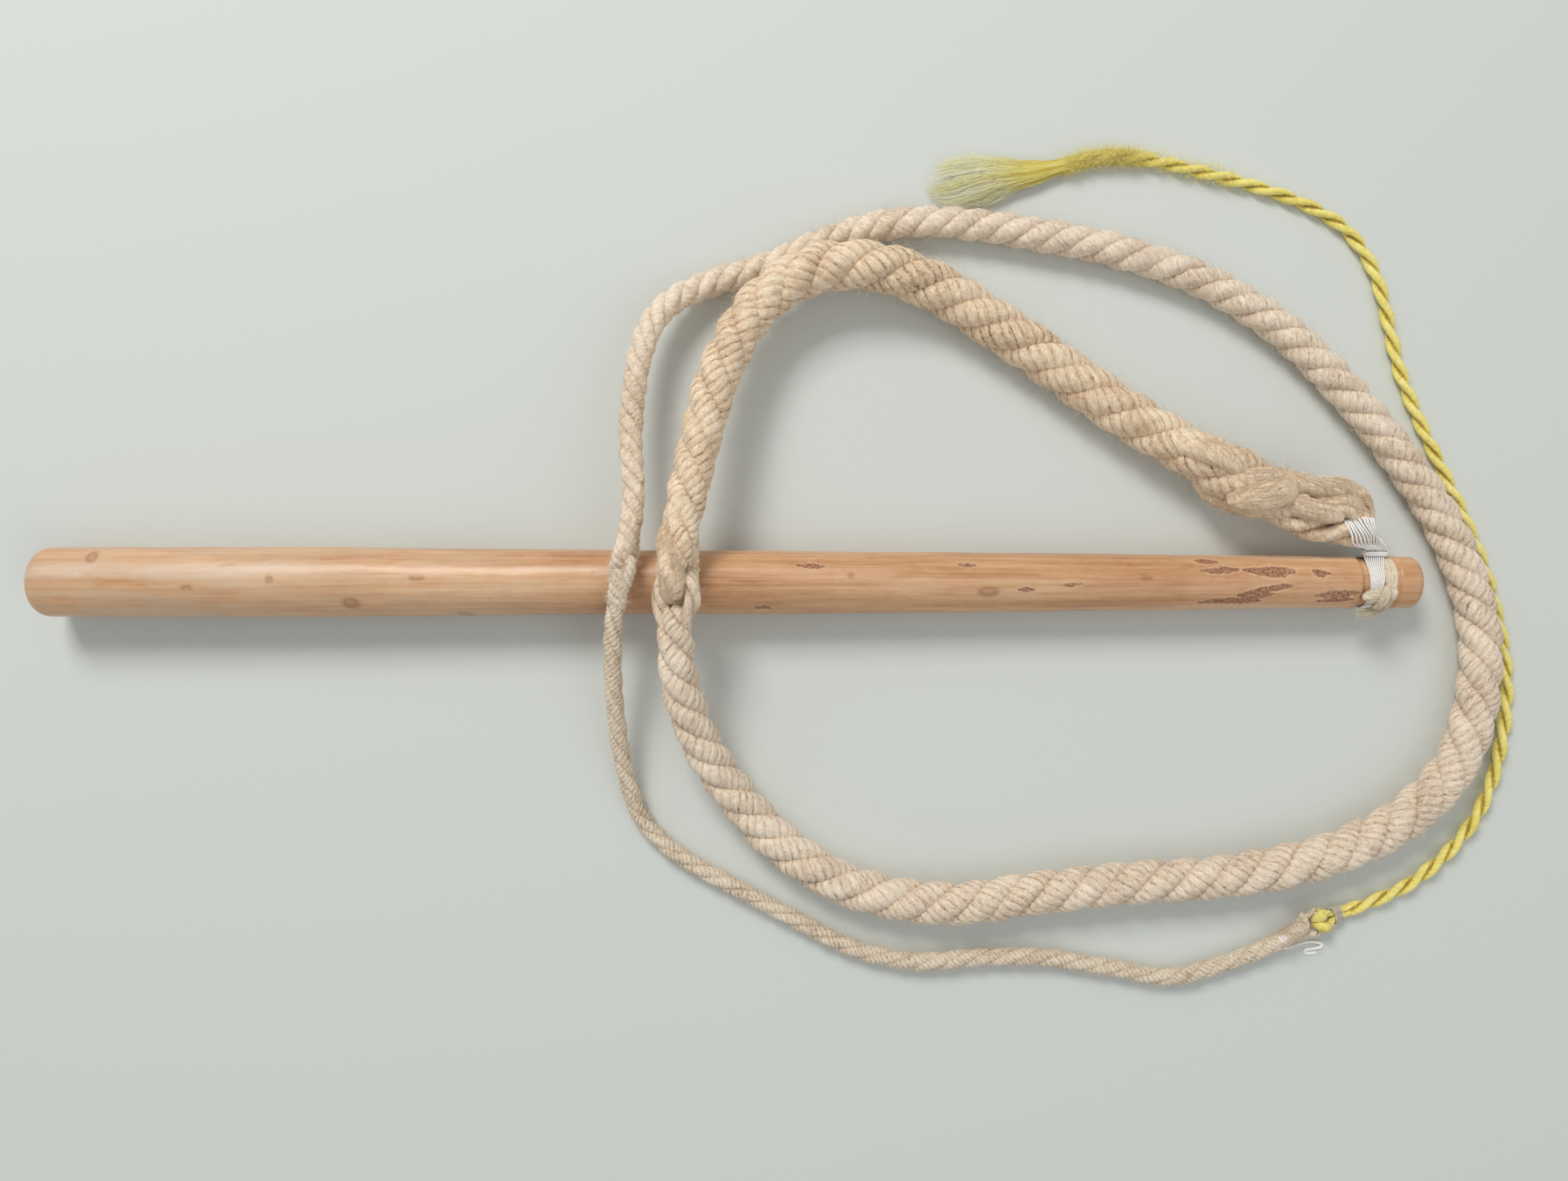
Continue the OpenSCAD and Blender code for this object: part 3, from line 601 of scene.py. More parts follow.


# each look is a material with the body and the slot of its pieces
# each fibre's darkest colour is mostly painted shade, in its grooves and valleys
HEMP = (fibre_material("hemp_thick", srgb(248, 229, 201), srgb(218, 189, 154), srgb(112, 76, 48),
                       stain=srgb(206, 174, 140), contrast=0.8), "thong", "laid_rope")
HEMP_B = (fibre_material("hemp_tapered", srgb(248, 232, 210), srgb(218, 195, 168),
                         srgb(118, 86, 62), stain=srgb(202, 177, 154), contrast=0.8),
          "thong", "laid_rope")
HEMP_C = (fibre_material("hemp_thin", srgb(238, 224, 202), srgb(213, 194, 168), srgb(146, 120, 94),
                         fibre=(0.5, 6.0), mottle=(0.4, 1.8), distance=0.0002),
          "thong", "thin_rope")
YELLOW = (fibre_material("yellow_fibre", srgb(252, 240, 150), srgb(238, 218, 98),
                         srgb(172, 142, 42), fibre=(0.2, 5.0), mottle=(0.12, 1.6),
                         distance=0.00015, sheen=0.25, contrast=0.75), "cracker", "yellow_cord")
TUFT = (tuft_material(), "cracker", "yellow_tuft")
TWINE = (fibre_material("white_twine", srgb(255, 254, 251), srgb(250, 247, 242),
                        srgb(132, 124, 112), fibre=(1.4, 5.0), mottle=(1.0, 1.5),
                        distance=0.00008, roughness=0.6, sheen=0.1, contrast=0.4, groove_shade=0.42),
         "thong", "white_twine")
STRIP = (fibre_material("cream_strip", srgb(240, 229, 206), srgb(222, 207, 178),
                        srgb(148, 130, 100), fibre=(0.3, 5.0), distance=0.00015, roughness=0.7),
         "thong", "cream_strip")
GREY = (fibre_material("greyed_yarn", srgb(226, 217, 200), srgb(192, 181, 162),
                       srgb(120, 108, 92), fibre=(0.8, 5.0), mottle=(0.6, 1.4),
                       distance=0.00015), "cracker", "thin_rope")

# ---- where the ropes lie: the CAD's routes, as x, y and the height of the underside ----

TOP_AB, TOP_BC = 32.0638, 32.3693
ROPE_A_D, ROPE_A_END = 25, 18.5
ROPE_B_D, ROPE_B_END = 22.0, 10.8
ROPE_C_D, ROPE_C_END = 9.2, 8.2
CRACKER_D = 6.6
CORD_GAP, CROSS_OFFSET = 0.4, 12
CROSS_D = ROPE_B_END + 0.17 * (ROPE_B_D - ROPE_B_END)
A_OVER_B = (CROSS_D / 2 - ROPE_A_D / 2
            + math.sqrt(((ROPE_A_D + CROSS_D) / 2 + CORD_GAP) ** 2 - CROSS_OFFSET ** 2))

SPLICE_A = [(281, 35, 13.5), (268, 41, 11.5), (255, 50, 8.5), (243, 57, 7), (231, 64, 6)]
ROPE_A = [(231, 64, 6), (196, 86, 1.5), (152, 117, 0), (108, 145, 2), (76, 156, A_OVER_B - 1.5),
          (44, 155, A_OVER_B), (15, 137, 12), (-3, 104, 20), (-12, 72, TOP_AB - 4),
          (-19, 40, TOP_AB + 1.5), (-20.5, 30, TOP_AB + 2.3)]
SPLICE_B = [(-24.5, -24, TOP_AB), (-24, -40, TOP_AB - 3.5), (-21, -57, 22.5)]
ROPE_B = [(-21, -57, 22.5), (-12, -82, 13.5), (3, -106, 5), (24, -130, 0.5), (60, -153, 0),
          (108, -162, 0), (152, -157, 0), (196, -152, 0), (241, -149, 0), (280, -143, 0),
          (316, -132, 0), (346, -114, 0), (367, -90, 0), (377, -59, 0), (378, -22, 0),
          (366, 18, 0), (345, 54, 0), (316, 91, 0), (280, 127, 0), (240, 152, 0),
          (198, 167, 0), (155, 176, 0), (113, 182, 0), (78, 181, 0), (45, 171, 0),
          (16, 159, 0), (-10, 151, 2), (-30, 139, 10), (-41, 121, 16), (-46, 95, 22),
          (-47, 68, TOP_BC - 4.9), (-45, 44, TOP_BC + 0.1), (-46, 27, TOP_BC + 1.6)]
ROPE_C = [(-53, -8, TOP_BC - 1.1), (-55.5, -24, TOP_BC - 3.9), (-56.5, -46, 22.5),
          (-55.5, -72, 14), (-52, -98, 6), (-44, -121, 0.5), (-26, -139, 0), (2, -155, 0),
          (32, -171, 0), (62, -186, 0), (94, -193, 0), (128, -191, 0), (160, -191, 0),
          (192, -196, 0), (224, -201, 0), (252, -194, 0), (270, -187, 0.8), (284, -180, 1.8)]
CRACKER = [(316, -167, 0.1), (330, -162, 0), (348, -153, 0), (366, -138, 0), (381, -119, 0),
           (390, -97, 0), (395, -72, 0), (396, -46, 0), (392, -20, 0), (385, 6, 0),
           (375, 32, 0), (363, 58, 0), (351, 84, 0), (341, 110, 0), (335, 136, 0),
           (328, 160, 0), (314, 180, 0), (293, 193, 0), (268, 202, 0), (242, 209, 0),
           (216, 215, 0), (192, 217, 0), (170, 212.5, 0)]


def lay(route, ds):
    """Centre line of a cord whose underside follows the route."""
    r = np.array(route, float)
    r[:, 2] += np.asarray(ds, float) / 2
    return r


def taper(route, table):
    """Diameter at each point of a route, from [(share of the points, diameter), ...]."""
    xs, ys = zip(*table)
    return np.interp(np.linspace(0, 1, len(route)), xs, ys)


ds_splice_a = [21, 22, 28, 28.5, ROPE_A_D]
ds_a = taper(ROPE_A, [(0, ROPE_A_D), (0.5, ROPE_A_D), (1, ROPE_A_END)])
ds_splice_b = [17.5, 19, 20]
ds_b = taper(ROPE_B, [(0, 20), (0.1, ROPE_B_D), (0.34, ROPE_B_D), (1, ROPE_B_END)])
ds_c = taper(ROPE_C, [(0, ROPE_C_D), (0.6, ROPE_C_D), (1, ROPE_C_END)])
path_a = np.vstack([lay(SPLICE_A, ds_splice_a), lay(ROPE_A, ds_a)[1:]])
path_b = np.vstack([lay(SPLICE_B, ds_splice_b), lay(ROPE_B, ds_b)[1:]])
path_c = lay(ROPE_C, ds_c)
path_cracker = lay(CRACKER, [CRACKER_D] * len(CRACKER))


def with_sizes(points, sizes, step=0.5):
    """The line through the points, and the size at each of its samples."""
    line = Line(curve(points), step)
    s = np.r_[0, np.cumsum(np.linalg.norm(np.diff(curve(points), axis=0), axis=1))][::20]
    return line, np.interp(line.s, s, sizes)


def declare(line):
    """A laid cord is as long as its line; this takes up to about two hundred points along that line, in
    metres, and does nothing more with them.
    """
    pts = line.p[:: max(1, len(line.p) // 200)]
    pts = np.vstack([pts, line.p[-1]]) * MM


# ---- rope A, rope B and rope C ----

line_a, size_a = with_sizes(path_a, list(ds_splice_a) + list(ds_a[1:]))
soup = Soup()
laid(soup, line_a, size_a, size_a * 2.34, size_a * 0.152, theta=0.4, seed=1, oval=1.14,
     amp=0.07, paint=0.75, rough=0.05, sides=24, fracs=(0, 0.18, 0.5, 0.82))
rope_a = soup.build("rope_a_laid", HEMP, "rope_a", "rope_a_splice")
soup = hairs(Soup(), line_a, size_a, 1500, (2, 7), seed=1)
hairs(soup, line_a, size_a * 1.02, 1500, (3, 8), radius=0.075, seed=101, lift=0.06, stand=0.06)
fuzz_a = soup.build("rope_a_fuzz", HEMP)

line_b, size_b = with_sizes(path_b, list(ds_splice_b) + list(ds_b[1:]))
soup = Soup()
thin = smoothstep(0.42, 0.8, line_b.s / line_b.L)
laid(soup, line_b, size_b, size_b * 2.42, size_b * 0.146, theta=1.2, seed=2, oval=1.12,
     amp=0.055 - 0.03 * thin, paint=0.65 - 0.5 * thin, rough=0.045 + 0.04 * thin, sides=15)
rope_b = soup.build("rope_b_laid", HEMP_B, "rope_b", "rope_b_splice")
soup = hairs(Soup(), line_b, size_b, 1700, (2, 6), seed=2)
hairs(soup, line_b, size_b, 2400, (1.5, 4.5), radius=0.05, seed=102, span=(0.5, 0.99))
hairs(soup, line_b, size_b * 1.02, 1700, (3, 7), radius=0.07, seed=103, lift=0.06, stand=0.06)
fuzz_b = soup.build("rope_b_fuzz", HEMP_B)

line_c, size_c = with_sizes(path_c, ds_c)
soup = Soup()
laid(soup, line_c, size_c * 1.04, size_c * 4.2, size_c * 0.21, theta=0.2, seed=3, rc=0.20,
     rs=0.285, oval=1.1, amp=0.09, paint=0.9, rough=0.05, sides=15)
rope_c = soup.build("rope_c_laid", HEMP_C, "rope_c")
soup = hairs(Soup(), line_c, size_c, 1500, (1.5, 4.5), radius=0.04, seed=3)
hairs(soup, line_c, size_c * 1.02, 900, (2, 5), radius=0.06, seed=104, lift=0.06, stand=0.06)
fuzz_c = soup.build("rope_c_fuzz", HEMP_C)

# ---- cracker: two plies twisted together ----

line_y, size_y = with_sizes(path_cracker, [CRACKER_D] * len(path_cracker))
soup = Soup()
laid(soup, line_y, size_y, 29.0, 2.6, strands=2, rc=0.235, rs=0.275, seed=4, amp=0.025,
     paint=0.15, rough=0.07, sides=16, ny=2, fracs=(0, 0.25, 0.5, 0.75), deep_from=75)
cracker = soup.build("cracker_cord", YELLOW, "cracker")
soup = hairs(Soup(), line_y, size_y, 1500, (1.2, 3.6), radius=0.045, seed=4)
hairs(soup, line_y, size_y, 800, (2, 5), radius=0.05, seed=105, span=(0.84, 1.0), stand=0.9)
hairs(soup, line_y, size_y, 900, (2, 5.5), radius=0.055, seed=106, span=(0.93, 1.0), stand=0.8)
# the plies come apart where they run into the tuft
cord_end = Line(curve(path_cracker[-3:] + [[4, 0.3, 0], [0, 0, 0], [-3, -1, 0]]), 0.4)
bundle(soup, cord_end, 520, 7.1, radius=0.06, skin=True, jitter=0.5, points=12, loose=0.62,
       seed=107, twist=0.03)
fuzz_y = soup.build("cracker_fuzz", YELLOW)

declare(line_a)
declare(line_b)
declare(line_c)
declare(line_y)

# ---- handle: peeled stick, its outline the CAD's with a carver's unevenness ----

GROOVE = [(310.8, 0), (313.6, 1), (329.3, 1), (331.8, 0)]
GROOVE_R = 11.7
# patches of inner bark left on the stick: each a line of x, y, half width as seen from above
BARK = [[(230.5, 10.6, 0.3), (234, 10.1, 1.2), (240.5, 9.9, 0.6)],
        [(231.5, 5.6, 0.3), (237.9, 5.4, 1.4), (244, 5.9, 1.9), (247, 5.8, 0.7), (249.8, 6.1, 0.9)],
        [(252.4, 5.9, 0.3), (258.8, 5.5, 1.8), (264.9, 5.0, 2.7), (271, 4.9, 3.0), (276.8, 5.2, 1.2)],
        [(288.2, 5.4, 0.9), (290.7, 4.0, 2.0), (295.8, 4.2, 0.3)],
        [(250.5, -6.6, 0.4), (257.5, -5.2, 1.6), (264.9, -3.6, 1.6), (271, -2.6, 1.7), (276.8, -2.1, 0.5)],
        [(252.8, -8.5, 0.3), (260, -7.7, 1.5), (267.8, -6.1, 0.3)],
        [(231.5, -10.2, 0.3), (239.1, -9.5, 1.1), (246.5, -9.2, 1.6), (253.8, -9.0, 1.7), (262, -9.5, 0.3)],
        [(288.6, -6.9, 0.3), (295.6, -6.3, 1.7), (301.7, -5.9, 2.0), (309.0, -5.2, 1.0)],
        [(290.4, -9.5, 0.3), (299.3, -9.0, 1.0), (308.2, -8.6, 0.3)],
        [(141.8, -4.0, 0.3), (145.7, -3.6, 1.3), (150.2, -4.1, 0.3)],
        [(164.0, -1.7, 0.3), (168.5, -1.4, 1.0), (173.0, -1.3, 0.3)],
        [(33.0, 8.2, 0.3), (41.0, 7.7, 1.5), (48.5, 7.6, 0.3)],
        [(113.0, 8.5, 0.3), (117.0, 8.1, 1.1), (121.4, 8.0, 0.3)],
        [(13.4, -12.7, 0.3), (17.2, -12.4, 1.1), (21.0, -12.6, 0.3)]]
# knots and small marks: x, y, half length, half width, height
KNOTS = [(127.3, -4.6, 4.4, 1.9, 0.35), (-183.7, -10.2, 3.4, 2.2, 0.3), (-222.1, 1.3, 1.6, 1.4, -0.2),
         (-151.0, 2.0, 3.2, 1.2, 0.2), (-129.9, -16.2, 3.4, 1.1, 0.15), (-310.3, 12.2, 2.3, 2.3, -0.3),
         (-15.5, -8.9, 2.0, 1.7, 0.35), (60.0, 3.0, 1.4, 1.0, -0.2), (205.0, 1.5, 2.2, 1.0, 0.15),
         (-262.0, -3.0, 2.4, 1.0, -0.15)]
# shallow cuts near the grip: x, y, half length, angle
CUTS = [(-170.7, -4.4, 6.5, 1.3), (-310, 6, 5, 0.4), (-296, -4, 4, 1.1),
        (-244, 9, 5, 0.2), (-60, 5, 6, 0.1), (4, 10, 5, 0.15)]


def handle_profile():
    """Places along the handle and its radius at each, from the butt's centre to the tip's."""
    butt_edge, tip_edge = BUTT_ROUND - HALF_LEN, HALF_LEN - TIP_ROUND
    quarter = math.pi / 2
    a = np.concatenate([-HALF_LEN + BUTT_ROUND * (1 - np.cos(np.linspace(0, quarter, 14))),
                        np.linspace(butt_edge + 0.6, GROOVE[0][0] - 0.9, 900),
                        np.linspace(GROOVE[0][0] - 0.5, GROOVE[-1][0] + 0.4, 60),
                        np.linspace(GROOVE[-1][0] + 1.0, tip_edge - 0.2, 14),
                        tip_edge + TIP_ROUND * np.sin(np.linspace(0, quarter, 12))])
    r = np.interp(a, *zip(*STATIONS))
    # the stations' slopes run softly into each other, up to near the ends
    middle = slice(20, -30)
    r[middle] = np.convolve(np.pad(r, 15, mode="edge"), np.ones(31) / 31, mode="valid")[middle]
    depth = smoothstep(0, 1, np.interp(a, *zip(*GROOVE)))
    r = r * (1 - depth) + GROOVE_R * depth
    butt, tip = a < butt_edge, a > tip_edge
    r[butt] = GRIP_R - BUTT_ROUND + np.sqrt(np.maximum(0, BUTT_ROUND ** 2 - (a[butt] - butt_edge) ** 2))
    r[tip] = TIP_R - TIP_ROUND + np.sqrt(np.maximum(0, TIP_ROUND ** 2 - (a[tip] - tip_edge) ** 2))
    # rings on the two end faces, almost to a point
    inner = np.linspace(0.9, 0.05, 10)
    a = np.concatenate([np.full(10, -HALF_LEN), a, np.full(10, HALF_LEN)])
    r = np.concatenate([(GRIP_R - BUTT_ROUND) * (1 - inner), r, (TIP_R - TIP_ROUND) * inner])
    r[[0, -1]] = 0.05
    return a, r


def bark_patches(A, P, y, top):
    """How far inside a patch of bark each point is: above 0 inside, below it outside."""
    bark = np.full_like(A, -1.0)
    for spine in BARK:
        for (x0, y0, h0), (x1, y1, h1) in zip(spine, spine[1:]):
            q = ((A - x0) * (x1 - x0) + (y - y0) * (y1 - y0)) / ((x1 - x0) ** 2 + (y1 - y0) ** 2)
            q = np.clip(q, 0, 1)
            d = np.hypot((A - x0 - q * (x1 - x0)) * 0.6, y - y0 - q * (y1 - y0))
            bark = np.maximum(bark, np.where(top, 1 - d / (h0 + q * (h1 - h0) + 0.25), -1))
    # the same kind of patches, sparser, round the underside
    under = np.random.RandomState(41)
    for _ in range(9):
        x0, q, hx = under.uniform(-300, 300), under.uniform(-2.7, -0.4), under.uniform(3, 9)
        round_it = (P + math.pi) % (2 * math.pi) - math.pi - q
        d = np.sqrt(((A - x0) / hx) ** 2 + (round_it * 15 / 1.6) ** 2)
        bark = np.maximum(bark, np.where(top, -1, 1 - d))
    return bark


def make_handle():
    """The stick as one piece of mesh, with its bark and knots as vertex values."""
    sides = 96
    a, r = handle_profile()
    A, P = np.meshgrid(a, np.linspace(0, 2 * math.pi, sides, endpoint=False), indexing="ij")
    R = np.repeat(r[:, None], sides, 1)
    across, up = np.cos(P), np.sin(P)

    def uneven(length, round_it, seed):
        return noise(np.stack([A / length, across * round_it, up * round_it], -1), seed)

    # true in the groove and at the ends, and nearly so under the links, where ropes ride close
    free = 1 - smoothstep(308, 311, A) * (1 - smoothstep(332, 335, A))
    free *= smoothstep(-HALF_LEN, 4 - HALF_LEN, A) * (1 - smoothstep(HALF_LEN - 5, HALF_LEN, A))
    free = free * (1 - 0.7 * smoothstep(-75, -62, A) * (1 - smoothstep(-8, 4, A)))
    waves = 0.28 * uneven(70, 1.2, 31) + 0.16 * uneven(22, 2.5, 32) + 0.05 * uneven(6, 6, 33)
    oval = 0.22 * np.cos(2 * (P - 0.4 - A / 260)) * free
    R = R + (waves - 0.12) * free + np.minimum(oval, 0.1)
    y = R * across
    top = up > 0.12
    knot = np.zeros_like(R)
    for x0, y0, hx, hy, high in KNOTS:
        d = ((A - x0) / hx) ** 2 + ((y - y0) / hy) ** 2
        R += np.where(top, high * np.exp(-d * 1.2), 0)
        rim = np.exp(-((np.sqrt(d) - 0.9) ** 2) * 6) * 0.8 + np.exp(-d * 3) * 0.5
        knot = np.maximum(knot, np.where(top, rim, 0))
    bark = bark_patches(A, P, y, top)
    R = R - 0.10 * smoothstep(-0.1, 0.25, bark) * free
    for x0, y0, ln, ang in CUTS:
        u = (A - x0) * math.cos(ang) + (y - y0) * math.sin(ang)
        w = -(A - x0) * math.sin(ang) + (y - y0) * math.cos(ang)
        R -= np.where(top, 0.22 * np.exp(-(w / 0.5) ** 2) * (np.abs(u) < ln), 0)
    centre = np.array([0, 0, AXIS_Z])
    v = (centre + A[..., None] * HANDLE_ALONG + (R * up)[..., None] * HANDLE_UP
         + (R * across)[..., None] * np.array([0, 1.0, 0])).reshape(-1, 3)
    v[:, 2] = np.maximum(v[:, 2], 0.02)
    v = np.vstack([v, centre - HALF_LEN * HANDLE_ALONG, centre + HALF_LEN * HANDLE_ALONG])
    uv = np.vstack([np.stack([A, P * 15], -1).reshape(-1, 2), [[0, 0], [0, 0]]])
    att = np.stack([bark * 0.5 + 0.5, knot, np.zeros_like(R)], -1).reshape(-1, 3)
    soup = Soup()
    soup.add(v, grid_faces(len(a), sides), uv, np.vstack([att, [[0, 0, 0]] * 2]))
    return soup


def wood_material():
    """Peeled and lacquered wood: a long grain, red flecks, worn places, a painted highlight on the butt,
    knots and bark.
    """
    g = Shader("peeled_wood", 0.42, coat=0.22, coat_roughness=0.28, specular=0.4)
    co = g.places()
    long_grain = g.texture(co, 1.0, 5, 0.62, (9, 420, 420), 0.6)
    fine_grain = g.texture(co, 1.0, 4, 0.7, (45, 1500, 1500), 0.2)
    broad = g.texture(co, 1.0, 3, 0.5, (7, 45, 45), 0.4)
    blotch = g.texture(co, 1.0, 4, 0.6, (60, 160, 160), 0.8)
    level = g.mul(long_grain, 0.6)
    for value, weight in ((broad, 0.6), (fine_grain, 0.3), (blotch, 0.3)):
        level = g.plus(level, g.mul(value, weight))
    level = g.minus(level, 0.38, clamp=True)
    wood = g.ramp(level, (0.22, srgb(164, 114, 74)), (0.42, srgb(197, 147, 104)),
                  (0.58, srgb(216, 171, 129)), (0.78, srgb(234, 198, 160)))
    # reddish flecks
    wood = g.mix(g.mul(g.fade(blotch, 0.58, 0.70), 0.25), wood, srgb(172, 110, 74))
    # the butt half is worn paler; the whitish line along its upper side is a painted highlight over varnish
    # worn by the hand
    x = g.new("SeparateXYZ", [(0, co)])
    y = x.node.outputs[1]

    def band(value, *stops):
        return g.new("MapRange", [(0, value), *enumerate(stops, 1)],
                     interpolation_type="SMOOTHSTEP")

    patchy = g.fade(g.texture(co, 1.0, 4, 0.6, (16, 90, 90), 0.5), 0.38, 0.62)
    worn = band(x, -0.30, 0.06, 0.62, 0.0)
    wood = g.mix(g.mul(worn, patchy), wood, srgb(206, 180, 150))
    # painted highlight: a whitish line near the top of the butt, on the key light's side, over worn varnish
    wear_and_painted_highlight = g.mul(band(x, -0.24, -0.17, 0.95, 0.0),
                  g.mul(band(y, -0.001, 0.004, 0.0, 1.0), band(y, 0.007, 0.012, 1.0, 0.0)))
    wear_and_painted_highlight = g.mul(wear_and_painted_highlight, g.plus(g.mul(patchy, 0.22), 0.02))
    wood = g.mix(wear_and_painted_highlight, wood, srgb(236, 222, 206))
    # knots and bark
    knot, bark = g.attribute("tint"), g.attribute("cav")
    wood = g.mix(g.mul(knot, 0.7, clamp=True), wood, srgb(146, 98, 66))
    edge = g.texture(co, 1.0, 4, 0.7, (330, 800, 800), 0.9)
    mask = g.plus(bark, g.mul(g.minus(edge, 0.5), 0.85))
    halo, core = g.fade(mask, 0.36, 0.46), g.fade(mask, 0.55, 0.61)
    speck = g.texture(co, 1050, 3, 0.7)
    bark_colour = g.ramp(speck, (0.38, srgb(128, 82, 54)), (0.52, srgb(166, 117, 86)),
                         (0.66, srgb(206, 162, 130)))
    wood = g.mix(g.mul(halo, 0.7), wood, srgb(228, 188, 150))
    wood = g.mix(core, wood, bark_colour)
    g.put(g.ends["Base Color"], wood)
    height = g.plus(g.mul(long_grain, 0.6), g.mul(fine_grain, 0.5))
    grain = g.bump(height, 0.35, 0.00025)
    pits = g.mul(core, g.minus(speck, 1.2))
    g.put(g.ends["Normal"], g.bump(pits, 0.5, 0.0003, [("Normal", grain)]))
    rough = g.plus(g.mul(broad, 0.25), 0.28)
    g.put(g.ends["Roughness"], g.plus(rough, g.mul(core, 0.3), clamp=True))
    return g.material


make_handle().build("handle_stick", (wood_material(), "handle", "handle_wood"), "handle")

# ---- eyes: two legs leave a rope's end and meet round a half circle ----


def eye_line(root, out, bend, along, across, spread, bend_r, into, step=0.3):
    """The CAD's eye route, with both ends run on into the rope and closer together there."""
    root, out, bend, along, across = (np.asarray(x, float) for x in (root, out, bend, along, across))
    start = unit(across - out * (across @ out))
    arc = [bend + bend_r * (across * math.cos(a) + along * math.sin(a))
           for a in np.radians([0, 30, 60, 90, 120, 150, 180])]
    points = [root + start * spread * 0.55 - out * into, root + start * spread,
              root + start * spread + out * 3, bend + across * bend_r - along * bend_r * 0.5,
              *arc, bend - across * bend_r - along * bend_r * 0.5,
              root - start * spread + out * 3, root - start * spread,
              root - start * spread * 0.55 - out * into]
    return Line(curve(points), step, "carried")


def out_first(p):
    """Direction in which a path's first end points."""
    return unit(p[0] - p[1])


def out_last(p):
    """Direction in which a path's last end points."""
    return unit(p[-1] - p[-2])


# of two linked eyes one stands up, leaning by this angle, and one lies square to it
LEAN = math.radians(55)


def steep(along):
    """Side of the eye that stands up; along is the way the eye points."""
    return UP * math.sin(LEAN) + np.cross(along, UP) * math.cos(LEAN)


def flat(along):
    """Side of the eye that lies square to it."""
    return UP * math.cos(LEAN) - np.cross(along, UP) * math.sin(LEAN)


# the eye that the hitch holds: two laid strands go round it
EYE_BEND = np.array([309.5, 33.5, 24.0])
EYE_R = 9.55
eye_along = unit(EYE_BEND - path_a[0])
eye_across = np.cross(UP, eye_along)
line = eye_line(path_a[0], out_first(path_a), EYE_BEND, eye_along, eye_across, 6.2, EYE_R, 9)


def pinched(soup):
    """The twine draws the eye's nose together: it narrows in x beyond the neck."""
    for v in soup.v:
        past = np.maximum(0, v[:, 0] - 300)
        v[:, 0] -= past * 0.30 * smoothstep(17, 30, v[:, 1])
    return soup


soup = Soup()
laid(soup, line, 12.8, 40.0, 3.1, strands=2, rc=0.225, rs=0.29, theta=0.9, seed=12,
     amp=0.05, paint=0.5, sides=24, rough=0.06, deep_from=80)
bundle(soup, line, 110, 12.9, radius=0.08, skin=True, jitter=0.25, points=30, loose=0.5, seed=12,
       twist=-0.16, tint=0.8)
hairs(soup, line, 12.6, 200, (1.5, 5), seed=12)
pinched(soup).build("rope_a_hitch_eye", HEMP, "rope_a_eye")

# ---- lumps of the splice on rope A: rolled strand ends and a brushed-out leaf ----


def lump(soup, points, widths, heights, count, seed, radius=0.13, twist=0.0, jitter=0.3,
         core=0.93, loose=0.25, points_n=18, ridge=None, tint=0.7, ref=UP):
    """A swelling of combed fibres round a plain or ridged core, of these widths and heights."""
    line = Line(curve(points), 0.35, ref)
    w, h = (np.interp(line.s / line.L, np.linspace(0, 1, len(q)), q) for q in (widths, heights))
    body = Soup()
    amp, paint = (0.05, 0.5) if ridge else (0.012, 0.12)
    ridged(body, line, w / 2 * core, line.rise, ridge or 3.4, amp=amp, paint=paint, sides=22,
           seed=seed, full=True, deep_from=105, rough=0.06)
    v = body.v[0]
    # squashed to its height, square to the line
    q = np.clip(((v[:, None] - line.p[None, ::8]) ** 2).sum(-1).argmin(1) * 8, 0, len(line.s) - 1)
    up = ((v - line.p[q]) * line.rise[q]).sum(1, keepdims=True)
    soup.add(v + line.rise[q] * up * ((h / w)[q] - 1)[:, None], body.f, body.u[0], body.a[0])
    bundle(soup, line, count, w, h, radius=radius, skin=True, jitter=jitter, points=points_n,
           loose=loose, seed=seed, twist=twist, tint=tint)
    return soup


soup = Soup()
# strand end that rolls over the upper edge
lump(soup, [(224, 66.4, 26), (231, 64.2, 30.6), (239, 61.4, 32.8), (247.5, 57.6, 32.8), (253, 52.4, 28)],
     [8, 11.5, 12.8, 12.5, 9], [7, 9.5, 10.5, 10, 7], 150, 61, radius=0.10, twist=0.10, tint=0.9)
# the next strand, between that and the leaf
lump(soup, [(243, 53, 29), (251, 51.2, 32.6), (259.5, 51.2, 33.4), (268, 51.8, 31), (274, 50, 27)],
     [6, 8.6, 9.6, 9, 6], [6, 8, 8.5, 7.5, 5], 120, 62, radius=0.10, ridge=3.3)
# brushed-out leaf
lump(soup, [(244.0, 39.6, 29.5), (251, 40.6, 33.6), (260, 42.0, 35.2), (269.5, 43.8, 34.2),
            (278.5, 46.4, 29)],
     [7, 13.5, 16.2, 15, 6], [5, 7.5, 8.4, 7.5, 4], 330, 63, radius=0.09, twist=-0.02, jitter=0.4, tint=1.0)
# flattened fuzzy lower edge
lump(soup, [(232, 52, 14), (241, 43.5, 18), (250, 38.5, 20.5), (259, 35.5, 21.5), (268, 34.5, 22)],
     [5, 8.5, 9.5, 8.5, 5], [4, 6, 7, 6, 4], 120, 64, jitter=0.6, loose=0.4)
hairs(soup, Line(curve([(236, 54, 22), (256, 48, 24), (278, 43, 25)]), 0.4), 25, 420, (2, 8), seed=66)
soup.build("rope_a_splice_ends", HEMP)
